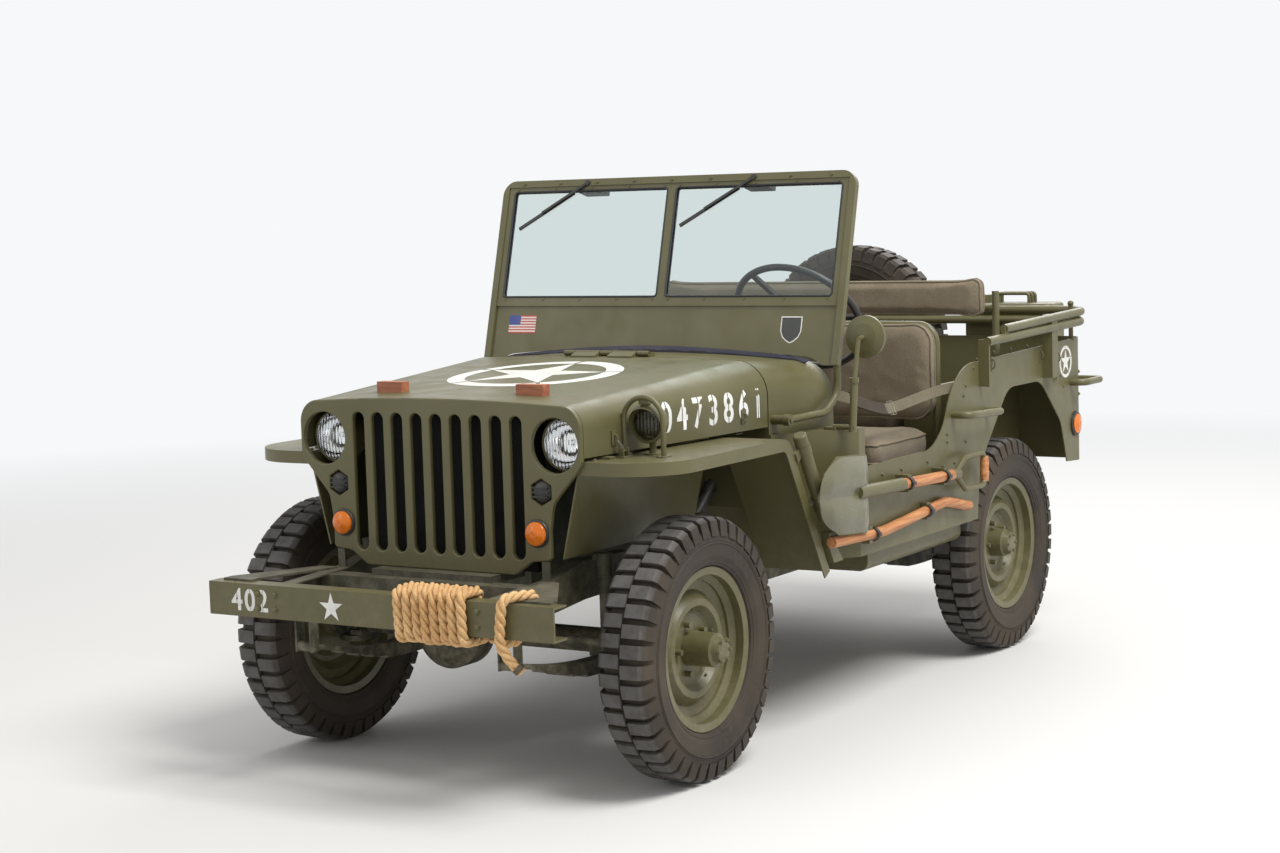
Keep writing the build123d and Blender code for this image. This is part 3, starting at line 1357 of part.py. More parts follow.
# Steering: box on the rail, column through the dash, and the wheel
BOX_TOP_Z = 650
with BuildPart() as steering_column:
    add(disc(STEERING_CENTRE + COLUMN_DIRECTION * 42, COLUMN_DIRECTION, COLUMN_RADIUS, 850))
    shaft_start = STEERING_CENTRE - COLUMN_DIRECTION * 10
    add(disc(shaft_start, COLUMN_DIRECTION, STEERING_SHAFT_RADIUS, 60))
    add(block((590, 690), (322, 384), (STEERING_BOX_SEAT, BOX_TOP_Z)))
    drop_arm = [(640, 384, 520), (640, 420, 520)]
    add(tube(drop_arm, 16, 0))

with BuildPart() as steering_wheel:
    wheel_plane = Plane(
        origin=STEERING_CENTRE, x_dir=(COLUMN_DIRECTION.Z, 0, -COLUMN_DIRECTION.X),
        z_dir=COLUMN_DIRECTION,
    )
    rim_radius = STEERING_RADIUS - STEERING_RIM_RADIUS
    with BuildSketch(Plane(origin=STEERING_CENTRE, x_dir=wheel_plane.x_dir, z_dir=(0, 1, 0))):
        with Locations((rim_radius, 0)):
            Circle(STEERING_RIM_RADIUS)
    revolve(axis=Axis(STEERING_CENTRE, COLUMN_DIRECTION))
    with BuildSketch(wheel_plane.offset(-6)):
        Circle(34)
        with PolarLocations(rim_radius / 2, 3, start_angle=90):
            Rectangle(rim_radius, 16)
    extrude(amount=12)
    with BuildSketch(wheel_plane.offset(-26)):
        Circle(27)
    extrude(amount=66)
    bore_start = STEERING_CENTRE - COLUMN_DIRECTION * 12
    bore = disc(bore_start, COLUMN_DIRECTION, STEERING_SHAFT_RADIUS + SPINDLE_GAP, 60)
    add(bore, mode=Mode.SUBTRACT)
save(steering_wheel, "steering_wheel")

with BuildPart() as control_levers:
    # columns: foot x, foot y, top x, top y, top height
    for foot_x, foot_y, top_x, top_y, top_z in [
        (150, 20, 60, 60, 930),
        (60, -30, 30, -30, 790),
        (60, -62, 30, -66, 790),
    ]:
        foot_z = tunnel_top(foot_x)
        add(disc((foot_x, foot_y, foot_z), (-TUNNEL_SLOPE, 0, 1), 15, 18))
        add(tube([(foot_x, foot_y, foot_z + 12), (top_x, top_y, top_z)], 8, 0))
        with Locations((top_x, top_y, top_z)):
            Sphere(22)
    # Pedals, standing out from the toe board
    toe_run = COWL_FRONT_X - 1 - TOE_START_X
    toe_normal = Vector(FLOOR_Z - TOE_TOP_Z, 0, toe_run).normalized()
    pedal_foot_z = FLOOR_Z + (TOE_TOP_Z - FLOOR_Z) * (PEDAL_X - TOE_START_X) / toe_run
    for y, width in [(250, 70), (400, 70), (505, 60)]:
        foot = Vector(PEDAL_X, y, pedal_foot_z) + toe_normal * FIT_GAP
        pedal = foot + toe_normal * PEDAL_REACH
        add(disc(foot, toe_normal, 8, PEDAL_REACH))
        with BuildSketch(Plane(origin=pedal, x_dir=(0, 1, 0), z_dir=(0.8, 0, -0.6))):
            Rectangle(width, 80)
        extrude(amount=8)
save_together("steering_column_and_levers", steering_column, control_levers)

# Seats: tube frames, cushions and backs
with BuildPart() as front_seat_frames:
    for side in (-1, 1):
        y_in = side * SEAT_Y - (SEAT_HALF - 24)
        y_out = side * SEAT_Y + (SEAT_HALF - 24)
        back_x = SEAT_TUBE_FACE_X - FIT_GAP - SEAT_TUBE_RADIUS
        add(
            tube(
                [
                    (SEAT_FRONT_X - 30, y_in, FLOOR_Z),
                    (SEAT_FRONT_X - 30, y_in, SEAT_LOOP_Z),
                    (back_x, y_in, SEAT_LOOP_Z),
                    (back_x, y_in, BACK_TOP - 20),
                    (back_x, y_out, BACK_TOP - 20),
                    (back_x, y_out, SEAT_LOOP_Z),
                    (SEAT_FRONT_X - 30, y_out, SEAT_LOOP_Z),
                    (SEAT_FRONT_X - 30, y_out, FLOOR_Z),
                ],
                SEAT_TUBE_RADIUS,
                60,
            )
        )
        for y in (y_in, y_out):
            add(tube([(back_x + 60, y, SEAT_LOOP_Z), (back_x + 60, y, FLOOR_Z)], 13, 0))
        add(
            block(
                (SEAT_BACK_X + 10, SEAT_FRONT_X - 40), (y_in, y_out),
                (SEAT_LOOP_Z - 4, SEAT_LOOP_Z + 4),
            )
        )
save(front_seat_frames, "front_seat_frames")

with BuildPart() as front_seat_cushions:
    for side in (-1, 1):
        y_range = (side * SEAT_Y - SEAT_HALF, side * SEAT_Y + SEAT_HALF)
        x_range = (SEAT_BACK_X + 20, SEAT_FRONT_X)
        add(pad(x_range, y_range, (SEAT_LOOP_Z + SEAT_TUBE_RADIUS + FIT_GAP, SEAT_TOP), 26))

with BuildPart() as front_seat_backs:
    for side in (-1, 1):
        y_range = (side * SEAT_Y - SEAT_HALF, side * SEAT_Y + SEAT_HALF)
        x_range = (SEAT_TUBE_FACE_X, SEAT_TUBE_FACE_X + 50)
        add(back_pad(x_range, y_range, (SEAT_TOP + 15, BACK_TOP), 70, 24))
save_together("front_seat_cushions", front_seat_cushions, front_seat_backs)

with BuildPart() as rear_seat_frame:
    loop_z = REAR_SEAT_TOP - 100
    for side in (-1, 1):
        add(block((-870, -570), sorted([side * 400, side * 424]), (REAR_FLOOR_Z, loop_z)))
        post_y = side * (REAR_BACK_HALF + 18)
        add(disc((REAR_BACK_X - 10, post_y, WHEELHOUSE_TOP), (0, 0, 1), 12, 312))
    add(block((-870, -570), (-424, 424), (loop_z - 6, loop_z)))
    back_y = REAR_BACK_HALF + 18
    add(disc((REAR_BACK_X - 10, -back_y, REAR_BACK_TOP - 110), (0, 1, 0), 11, 2 * back_y))
save(rear_seat_frame, "rear_seat_frame")

with BuildPart() as rear_seat_cushion:
    add(pad((-870, -560), (-450, 450), (REAR_SEAT_TOP - 100 + FIT_GAP, REAR_SEAT_TOP), 30))

with BuildPart() as rear_seat_back:
    back_front = REAR_BACK_X + 1 + FIT_GAP
    back_x = (back_front, back_front + 50)
    y_range = (-REAR_BACK_HALF, REAR_BACK_HALF)
    add(pad(back_x, y_range, (REAR_BACK_TOP - 145, REAR_BACK_TOP), 24))
save_together("rear_seat_cushions", rear_seat_cushion, rear_seat_back)

# Spare wheel's carrier on the rear panel
CARRIER_FACE_X = SPARE_X + 6
with BuildPart() as spare_carrier:
    add(disc((CARRIER_FACE_X, SPARE_Y, SPARE_Z), (1, 0, 0), 90, 8))
    carrier_y = (SPARE_Y - 70, SPARE_Y + 70)
    add(block((CARRIER_FACE_X, TUB_REAR_X), carrier_y, (SPARE_Z - 100, SPARE_Z + 20)))
    add(block((TUB_REAR_X - 6, TUB_REAR_X), (SPARE_Y - 130, SPARE_Y + 130), (820, 1015)))
    add(disc((CARRIER_FACE_X, SPARE_Y, SPARE_Z), (-1, 0, 0), SPARE_BORE_RADIUS - 2, 30))

# Fuel can on the rear panel, in its tray
with BuildPart() as jerry_can:
    with BuildSketch(Plane.XY.offset(CAN_BOTTOM_Z)):
        with Locations(((CAN_REAR_X + CAN_FRONT_X) / 2, CAN_Y)):
            RectangleRounded(CAN_FRONT_X - CAN_REAR_X, CAN_WIDTH, 34)
    extrude(amount=CAN_HEIGHT)
    fillet(jerry_can.faces().sort_by(Axis.Z)[-1].edges(), 14)
    can_top = CAN_BOTTOM_Z + CAN_HEIGHT
    can_x = (CAN_REAR_X + CAN_FRONT_X) / 2
    for shift in (-30, 0, 30):
        handle = [
            (can_x + shift, CAN_Y - 60, can_top - 4),
            (can_x + shift, CAN_Y - 60, can_top + 34),
            (can_x + shift, CAN_Y + 70, can_top + 34),
            (can_x + shift, CAN_Y + 70, can_top - 4),
        ]
        add(tube(handle, 6, 12))
    add(disc((can_x, CAN_Y - 115, can_top - 5), (0, 0, 1), 26, 34))
save(jerry_can, "jerry_can")

with BuildPart() as can_tray:
    can_y = (CAN_Y - CAN_WIDTH / 2 - 8, CAN_Y + CAN_WIDTH / 2 + 8)
    add(block((CAN_REAR_X - 8, TUB_REAR_X), can_y, (CAN_BOTTOM_Z - 70, CAN_BOTTOM_Z + 70)))
    add(
        block(
            (CAN_REAR_X - 4, CAN_FRONT_X + 2), (can_y[0] + 4, can_y[1] - 4),
            (CAN_BOTTOM_Z, CAN_BOTTOM_Z + 80),
        ),
        mode=Mode.SUBTRACT,
    )
    add(block((TUB_REAR_X - 5, TUB_REAR_X), can_y, (CAN_BOTTOM_Z + 69, CAN_BOTTOM_Z + 260)))
save_together("rear_carriers", spare_carrier, can_tray)

# Bumper's brackets and the sloping gussets behind it
with BuildPart() as bumper_gussets:
    bumper_back = BUMPER_FRONT_X - BUMPER_DEPTH
    bumper_top = BUMPER_BOTTOM + BUMPER_HEIGHT
    for side in (-1, 1):
        rail_y = sorted([side * (RAIL_Y - RAIL_WIDTH / 2), side * (RAIL_Y + RAIL_WIDTH / 2)])
        bracket_x = (RAIL_STATIONS[0][0], BUMPER_FRONT_X - BUMPER_WALL)
        add(block(bracket_x, rail_y, (480, 548)))
        tab_y = sorted([side * 440, side * 540])
        add(block((bumper_back, bumper_back + 34), tab_y, (bumper_top, bumper_top + 6)))
        with BuildSketch(across(bumper_back)):
            with Locations((side * 490, bumper_top + 3)):
                Rectangle(100, 6)
        with BuildSketch(across(1400)):
            with Locations((side * 372, 567)):
                Rectangle(56, 6)
        loft()
        tab_y = sorted([side * (RAIL_Y - 12), side * (RAIL_Y + 12)])
        add(block((GRILLE_X - 10, GRILLE_X - 4), tab_y, (562, 618.6)))
save_together("frame", frame, bumper_gussets)

# Rope wound round the bumper, and its short wrap with a hanging end
bumper_middle = (BUMPER_FRONT_X - BUMPER_DEPTH / 2, BUMPER_BOTTOM + BUMPER_HEIGHT / 2)
coil_plane = Plane(origin=(0, 0, 0), x_dir=(1, 0, 0), z_dir=(0, -1, 0))
# columns: name, start y, end y
for name, y_start, y_end in [("rope_coil", 43, 280), ("rope_wrap", 382, 422)]:
    with BuildPart() as wound:
        with BuildSketch(coil_plane.offset(-y_end)):
            with Locations(bumper_middle):
                RectangleRounded(
                    BUMPER_DEPTH + 2 * ROPE_THICKNESS, BUMPER_HEIGHT + 2 * ROPE_THICKNESS,
                    ROPE_THICKNESS,
                )
                Rectangle(
                    BUMPER_DEPTH + 2 * FIT_GAP, BUMPER_HEIGHT + 2 * FIT_GAP,
                    mode=Mode.SUBTRACT,
                )
        extrude(amount=y_end - y_start)
    save(wound, name)

# columns: the tail's route
ROPE_ROUTE = [
    (BUMPER_FRONT_X + 4, 402, BUMPER_BOTTOM - ROPE_THICKNESS - FIT_GAP),
    (BUMPER_FRONT_X + 4, 402, 400),
    (BUMPER_FRONT_X - 8, 418, 326),
]
ROPE_BENDS = [60]
with BuildPart() as rope_tail:
    add(tube(ROPE_ROUTE, ROPE_RADIUS, ROPE_BENDS))
save(rope_tail, "rope_tail")
rope_length = rope_tail.part.volume / (pi * ROPE_RADIUS**2)
print("rope tail length", round(rope_length, 2), "bends", ROPE_BENDS)

# Fuel tank under the left floor
with BuildPart() as fuel_tank:
    add(block((-560, 119), (376, 660), (418, FLOOR_Z - SHEET)))
    fillet(fuel_tank.edges().filter_by(Axis.X).group_by(Axis.Z)[0], 30)
save(fuel_tank, "fuel_tank")

# Long canister strapped behind the left fender's flap
flap_rise = Vector(FENDER_REAR_X - FLAP_TIP_X, 0, FENDER_TOP - FLAP_TIP_Z).normalized()
flap_outward = Vector(-flap_rise.Z, 0, flap_rise.X)
flap_foot = Vector(FLAP_TIP_X, CANISTER_Y, FLAP_TIP_Z)
with BuildPart() as canister:
    canister_start = flap_foot + flap_rise * 150 + flap_outward * CANISTER_STANDOFF
    add(disc(canister_start, flap_rise, CANISTER_RADIUS, CANISTER_LENGTH))
    fillet(canister.edges().filter_by(GeomType.CIRCLE), 6)
    for along in (220, 400):
        strap_start = flap_foot + flap_rise * (along - 14) + flap_outward * CANISTER_STANDOFF
        add(disc(strap_start, flap_rise, CANISTER_RADIUS + 2, 28))
        foot_plane = Plane(
            origin=flap_foot + flap_rise * along, x_dir=(0, 1, 0), z_dir=flap_outward
        )
        with BuildSketch(foot_plane):
            with Locations((-12, 0)):
                Rectangle(24, 28)
        extrude(amount=CANISTER_STANDOFF)
save(canister, "canister")

# Tools on the left side: wood handles, then their steel with the clamps
SHOVEL_Y = 750
AXE_Y = 731
SHOVEL_SOCKET = Vector(57, SHOVEL_Y, 681.4)
SHOVEL_GRIP = Vector(-301, SHOVEL_Y, 668.3)
AXE_ROUTE = [(488, AXE_Y, 563), (150, AXE_Y, 550), (-290, AXE_Y, 584), (-470, AXE_Y, 548)]
with BuildPart() as tool_handles:
    add(tube([SHOVEL_SOCKET, SHOVEL_GRIP], SHOVEL_RADIUS, 0))
    add(tube(AXE_ROUTE, AXE_RADIUS, [700, 200]))
save(tool_handles, "tool_handles")

with BuildPart() as shovel_and_axe:
    blade_plane = Plane(origin=(0, SHOVEL_Y + 2, 0), x_dir=(1, 0, 0), z_dir=(0, -1, 0))
    with BuildSketch(blade_plane):
        Polygon(
            (292, 566), (292, 800), (480, 812), (560, 770), (604, 700), (560, 626), (480, 584),
            align=None,
        )
        fillet(vertices(), 16)
    extrude(amount=4)
    shaft_line = (SHOVEL_SOCKET - SHOVEL_GRIP).normalized()
    add(disc(SHOVEL_SOCKET + shaft_line * FIT_GAP, shaft_line, SHOVEL_RADIUS + 3, 300))
    grip_start = SHOVEL_GRIP - shaft_line * FIT_GAP
    add(disc(grip_start, shaft_line * -1, SHOVEL_RADIUS, 46))
    grip_route = [
        (-334, SHOVEL_Y, 672),
        (-404, SHOVEL_Y, 712),
        (-556, SHOVEL_Y, 712),
        (-556, SHOVEL_Y, 606),
        (-404, SHOVEL_Y, 610),
        (-334, SHOVEL_Y, 662),
    ]
    add(tube(grip_route, 9, 28))
    # Axe head, on the inner side of its handle behind the fender's flap
    head_plane = Plane(origin=(0, AXE_Y - 8, 0), x_dir=(1, 0, 0), z_dir=(0, -1, 0))
    with BuildSketch(head_plane):
        Polygon(
            (440, 592), (486, 592), (486, 545), (458, 500), (400, 500), (440, 545), align=None
        )
    extrude(amount=26)
    add(tube(AXE_ROUTE, AXE_RADIUS + FIT_GAP, [700, 200]), mode=Mode.SUBTRACT)
    # Clamps; columns: x, height, handle y, handle radius, handle's slope
    for x, z, y, radius, slope in [
        (20, 680.0, SHOVEL_Y, SHOVEL_RADIUS, 0.0366),
        (-240, 670.5, SHOVEL_Y, SHOVEL_RADIUS, 0.0366),
        (250, 553.8, AXE_Y, AXE_RADIUS, 0.0385),
        (-150, 573.2, AXE_Y, AXE_RADIUS, -0.0773),
    ]:
        add(block((x - 11, x + 11), (TUB_HALF_WIDTH, y + 8), (z - 26, z + 26)))
        bore = disc((x - 20, y, z - 20 * slope), (1, 0, slope), radius + FIT_GAP, 42)
        add(bore, mode=Mode.SUBTRACT)
save(shovel_and_axe, "shovel_and_axe")

# Mirror on the left cowl ledge
with BuildPart() as mirror:
    add(block((300, 340), (636, 672), (COWL_LEDGE, COWL_LEDGE + 8)))
    add(tube([(322, 660, COWL_LEDGE + 8), (322, 732, COWL_LEDGE + 8)], 8, 0))
    add(tube([(322, 722, COWL_LEDGE - 6), (303, 722, 1022)], 11, 0))
    add(disc((305, 722, 1010), (0, 0, 1), 14, 14))
    add(tube([(303, 722, 1020), (270, 722, MIRROR_Z)], 7, 0))
    add(tube([(276, 722, MIRROR_Z - 4), (236, 722, MIRROR_Z)], 7, 0))
    mirror_plane = Plane(origin=(0, 722, MIRROR_Z), x_dir=(1, 0, 0), z_dir=(0, -1, 0))
    with BuildSketch(mirror_plane):
        Polygon(
            (220, 0), (220, 60), (218, 63.5), (230, 63.5), (240, 40), (246, 0), align=None
        )
    revolve(axis=Axis((0, 722, MIRROR_Z), (1, 0, 0)))
save(mirror, "mirror")

# Folded top bows along the tub's rim, their brackets and posts
with BuildPart() as top_bows:
    # columns: front x, front height, rear x, rear height
    for front_x, front_z, rear_x, rear_z in [
        (-743, 1099, TUB_REAR_X + 20, 1119),
        (-605, 1066, TUB_REAR_X + 27, 1084),
    ]:
        bow_route = [
            (front_x, BOW_Y, front_z),
            (rear_x, BOW_Y, rear_z),
            (rear_x, -BOW_Y, rear_z),
            (front_x, -BOW_Y, front_z),
        ]
        add(tube(bow_route, BOW_RADIUS, 90))
    for side in (-1, 1):
        outer_y = sorted([side * TUB_HALF_WIDTH, side * (BOW_Y + 7)])
        add(block((-612, -602), outer_y, (920, 1074)))
        add(block((-1190, -1140), outer_y, (905, 1122)))
        link_y = sorted([side * (BOW_Y - 7), side * (BOW_Y + 7)])
        add(block((-768, -736), link_y, (1062, 1108)))
        post_y = sorted([side * (TUB_HALF_WIDTH - SHEET), side * (TUB_HALF_WIDTH - 26)])
        add(block((REAR_POST_X - 15, REAR_POST_X + 15), post_y, (960, 1018)))
        add(disc((REAR_POST_X, side * (TUB_HALF_WIDTH - 16), 965), (0, 0, 1), 8, 178))
        with Locations((REAR_POST_X, side * (TUB_HALF_WIDTH - 16), 1144)):
            Sphere(11)
save(top_bows, "top_bows")

with BuildPart() as grab_handles:
    for side in (-1, 1):
        wall_y = side * TUB_HALF_WIDTH
        side_route = [
            (HANDLE_FRONT_X, wall_y, 848),
            (HANDLE_FRONT_X, side * HANDLE_Y, 848),
            (HANDLE_REAR_X, side * HANDLE_Y, 838),
            (HANDLE_REAR_X, wall_y, 838),
        ]
        add(tube(side_route, HANDLE_RADIUS, 30))
        rear_route = [
            (TUB_REAR_X + 120, wall_y, 868),
            (TUB_REAR_X + 120, side * (HANDLE_Y - 8), 868),
            (TUB_REAR_X - 47, side * (HANDLE_Y - 8), 868),
            (TUB_REAR_X - 47, side * 625, 868),
            (TUB_REAR_X, side * 625, 868),
        ]
        add(tube(rear_route, HANDLE_RADIUS, 30))
save(grab_handles, "grab_handles")

# Rear lamps, side reflectors, bumperettes and tow hook
with BuildPart() as rear_lamps:
    for side in (-1, 1):
        add(disc((TUB_REAR_X, side * 634, 690), (-1, 0, 0), 26, 26))
        reflector = (TUB_REAR_X + 81, side * TUB_HALF_WIDTH, 718)
        add(disc(reflector, (0, side, 0), 44, 9))
        add(disc(reflector, (0, side, 0), 36, 16))
save(rear_lamps, "rear_lamps")

with BuildPart() as rear_bumperettes:
    rail_end = RAIL_STATIONS[-1][0]
    for side in (-1, 1):
        rail_y = sorted([side * (RAIL_Y - RAIL_WIDTH / 2), side * (RAIL_Y + RAIL_WIDTH / 2)])
        add(block((rail_end - 98, rail_end), rail_y, (480, 552)))
        plate_y = sorted([side * 250, side * 480])
        add(block((rail_end - 110, rail_end - 98), plate_y, (466, 564)))
    fillet(rear_bumperettes.edges().filter_by(Axis.X).group_by(Axis.Z)[-1], 12)

with BuildPart() as tow_hook:
    add(block((-1494, -1485), (-62, 62), (484, 546)))
    hook_route = [(-1490, 0, 515), (-1560, 0, 515), (-1598, 0, 480), (-1560, 0, 446), (-1530, 0, 468)]
    add(tube(hook_route, 12, 16))
save_together("rear_bumpers_and_hook", rear_bumperettes, tow_hook)

# Webbing strap across the left door opening, from the cowl to the panel behind the door
STRAP_WIDTH = 34
STRAP_THICKNESS = 3
with BuildPart() as safety_strap:
    strap_front = Vector(DOOR_FRONT_X, COWL_REAR_HALF, 0)
    strap_rear = Vector(-430, TUB_HALF_WIDTH - SHEET - FIT_GAP, 0)
    strap_run = strap_front - strap_rear
    strap_length = strap_run.length
    strap_plane = Plane(
        origin=strap_front, x_dir=strap_run, z_dir=(strap_run.Y, -strap_run.X, 0)
    )
    with BuildSketch(strap_plane):
        with BuildLine():
            upper = ThreePointArc((0, 985), (-215, 912), (-480, 948))
            lower = ThreePointArc(
                (0, 985 - STRAP_WIDTH), (-215, 912 - STRAP_WIDTH), (-480, 948 - STRAP_WIDTH)
            )
            upper_end = Line(upper @ 1, (-strap_length, 950))
            lower_end = Line(lower @ 1, (-strap_length, 950 - STRAP_WIDTH))
            Line(upper @ 0, lower @ 0)
            Line(upper_end @ 1, lower_end @ 1)
        make_face()
    extrude(amount=STRAP_THICKNESS)
save(safety_strap, "safety_strap")
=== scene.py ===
# %% [markdown]
# # An open army 4x4 car
# The solids of the car come ready made, with their places and joints. This lesson dresses
# them: paint, rubber, canvas and rope, and the small pieces that give a car its age and use.
# First the frame is loaded.

# %% Load the frame
import json
import math

import bmesh
import bpy
from mathutils import Matrix, Vector, noise
from mathutils.bvhtree import BVHTree


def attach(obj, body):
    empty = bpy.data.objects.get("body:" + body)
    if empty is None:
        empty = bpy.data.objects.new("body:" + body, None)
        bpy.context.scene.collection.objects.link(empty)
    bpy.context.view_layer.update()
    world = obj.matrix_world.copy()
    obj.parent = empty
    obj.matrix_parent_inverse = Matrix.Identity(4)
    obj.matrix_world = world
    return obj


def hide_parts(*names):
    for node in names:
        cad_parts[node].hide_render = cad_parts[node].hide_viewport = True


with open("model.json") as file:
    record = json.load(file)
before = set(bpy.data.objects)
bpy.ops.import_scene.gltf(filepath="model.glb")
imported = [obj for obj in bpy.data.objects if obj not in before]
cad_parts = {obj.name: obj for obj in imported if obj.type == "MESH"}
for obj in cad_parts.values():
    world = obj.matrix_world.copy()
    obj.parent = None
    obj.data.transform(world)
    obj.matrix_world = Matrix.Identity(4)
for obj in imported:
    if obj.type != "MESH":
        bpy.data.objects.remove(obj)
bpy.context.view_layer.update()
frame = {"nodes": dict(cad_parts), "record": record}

nodes = frame["nodes"]

# %% [markdown]
# Every mesh here is built in car coordinates: X to the front, Y to the car's left, Z up.
# A helper turns a finished bmesh into an object that sits at the origin, so that patterns on
# Object coordinates stay where they are.

# %% Helpers for meshes
scene = bpy.context.scene


def add_mesh(name, mesh_data, material=None, smooth=False):
    """Links an object for a bmesh and frees the bmesh."""
    mesh = bpy.data.meshes.new(name)
    mesh_data.to_mesh(mesh)
    mesh_data.free()
    if smooth:
        mesh.shade_smooth()
    obj = bpy.data.objects.new(name, mesh)
    scene.collection.objects.link(obj)
    if material:
        mesh.materials.append(material)
    return obj


def frame_at(place, normal, upward=(0, 0, 1)):
    """A matrix whose z axis is a normal, with its y axis as near upward as it can be."""
    z_axis = Vector(normal).normalized()
    x_axis = Vector(upward).cross(z_axis)
    if x_axis.length < 1e-4:
        x_axis = Vector((1, 0, 0)).cross(z_axis)
    if x_axis.length < 1e-4:
        x_axis = Vector((0, 1, 0))
    x_axis.normalize()
    y_axis = z_axis.cross(x_axis)
    turn = Matrix((x_axis, y_axis, z_axis)).transposed().to_4x4()
    return Matrix.Translation(place) @ turn


def apply_modifiers(obj):
    """Turns an object's evaluated shape into its own plain mesh."""
    depsgraph = bpy.context.evaluated_depsgraph_get()
    mesh = bpy.data.meshes.new_from_object(obj.evaluated_get(depsgraph))
    obj.modifiers.clear()
    obj.data = mesh
    return obj


print("helpers ready")

# %% [markdown]
# Paint on a working car isn't one colour. It fades where the sun lies on it, dust settles on
# the level faces and road dirt near the wheels. The effect is one shader group, built once,
# and each paint sets its own values. It reads Object coordinates, which are the car's own.

# %% A group for weathered paint


def put(tree, kind, inputs=None, **settings):
    """Adds a node with its settings, and a value or a link for each given input."""
    node = tree.nodes.new(kind)
    for name, value in settings.items():
        setattr(node, name, value)
    for name, value in (inputs or {}).items():
        if isinstance(value, bpy.types.NodeSocket):
            tree.links.new(value, node.inputs[name])
        else:
            node.inputs[name].default_value = value
    return node


def new_group(name, inputs):
    """A shader group with an input for each name and value, and a colour, roughness and height."""
    tree = bpy.data.node_groups.new(name, "ShaderNodeTree")
    kinds = {4: "NodeSocketColor", 3: "NodeSocketVector", 1: "NodeSocketFloat"}
    for socket_name, value in inputs.items():
        kind = kinds[len(value) if isinstance(value, tuple) else 1]
        socket = tree.interface.new_socket(socket_name, in_out="INPUT", socket_type=kind)
        socket.default_value = value
    for socket_name in ("Color", "Roughness", "Height"):
        kind = kinds[4 if socket_name == "Color" else 1]
        tree.interface.new_socket(socket_name, in_out="OUTPUT", socket_type=kind)
    return tree, tree.nodes.new("NodeGroupInput"), tree.nodes.new("NodeGroupOutput")


def close_group(tree, result, *sockets):
    """Sends a colour, a roughness and a height out of a group."""
    for name, socket in zip(("Color", "Roughness", "Height"), sockets):
        tree.links.new(socket, result.inputs[name])
    return tree


def object_place(tree):
    """Object coordinates, whole and split in X, Y and Z."""
    place = put(tree, "ShaderNodeTexCoord").outputs["Object"]
    return place, put(tree, "ShaderNodeSeparateXYZ", {0: place}).outputs


def noise_node(tree, coordinates, scale, detail, roughness=0.5):
    """A noise texture on given coordinates."""
    values = {"Vector": coordinates, "Scale": scale, "Detail": detail, "Roughness": roughness}
    return put(tree, "ShaderNodeTexNoise", values).outputs["Fac"]


def span(tree, value, from_low, from_high, to_low=0.0, to_high=1.0):
    """Maps a value from one span to another, without going past its ends."""
    ends = {"From Min": from_low, "From Max": from_high, "To Min": to_low, "To Max": to_high}
    return put(tree, "ShaderNodeMapRange", {"Value": value, **ends}).outputs["Result"]


def sums(tree, operation, first, second=0.0):
    """One Math node; each side may be a number or a socket."""
    return put(tree, "ShaderNodeMath", {0: first, 1: second}, operation=operation).outputs[0]


def product(tree, *factors):
    """Several factors multiplied, from left to right."""
    total = factors[0]
    for factor in factors[1:]:
        total = sums(tree, "MULTIPLY", total, factor)
    return total


def mix_colour(tree, factor, first, second, blend="MIX"):
    """Mixes two colours, each a socket or a tuple."""
    values = {"Factor": factor, 6: first, 7: second}
    return put(tree, "ShaderNodeMix", values, data_type="RGBA", blend_type=blend).outputs[2]


tree, given, result = new_group(
    "weathered_paint",
    {
        "Paint": (0.1, 0.1, 0.05, 1),
        "Faded": (0.14, 0.14, 0.08, 1),
        "Dust": (0.3, 0.26, 0.18, 1),
        "Dust Amount": 0.3,
        "Low Dirt": 0.5,
        "Sheen Low": 0.42,
        "Sheen High": 0.6,
    },
)
place, parts = object_place(tree)
normal = put(tree, "ShaderNodeNewGeometry").outputs["Normal"]
normal_parts = put(tree, "ShaderNodeSeparateXYZ", {0: normal}).outputs
fading = span(tree, noise_node(tree, place, 2.6, 4), 0.35, 0.68)
coat = mix_colour(tree, fading, given.outputs["Paint"], given.outputs["Faded"])
cloud = span(tree, noise_node(tree, place, 9.0, 6, 0.65), 0.38, 0.72)
level = span(tree, normal_parts["Z"], 0.2, 1.0)
settled = product(tree, level, cloud, given.outputs["Dust Amount"])
low = span(tree, parts["Z"], 0.75, 0.25)
splash = span(tree, noise_node(tree, place, 24.0, 5, 0.7), 0.42, 0.66)
thrown = product(tree, low, splash, given.outputs["Low Dirt"])
dirt = sums(tree, "MAXIMUM", settled, thrown)
colour = mix_colour(tree, dirt, coat, given.outputs["Dust"])
smear = span(tree, noise_node(tree, place, 14.0, 4), 0.3, 0.7)
shine = sums(tree, "MAXIMUM", smear, dirt)
ends = {2: given.outputs["Sheen Low"], 3: given.outputs["Sheen High"]}
sheen = put(tree, "ShaderNodeMix", {"Factor": shine, **ends})
peel = noise_node(tree, place, 160.0, 2)
weathered_paint = close_group(tree, result, colour, sheen.outputs[0], peel)
print("paint group nodes:", len(tree.nodes))

# %% [markdown]
# A material holds its own Principled shader and one or more of the groups. The helper makes
# that pair, joins the group's outputs to the shader and a bump, and sets the group's values.

# %% A helper for grouped materials


def new_material(name, **shader_values):
    """A material whose Principled shader has the given values."""
    material = bpy.data.materials.new(name)
    material.use_nodes = True
    shader = material.node_tree.nodes["Principled BSDF"]
    for socket, value in shader_values.items():
        shader.inputs[socket.replace("_", " ")].default_value = value
    return material


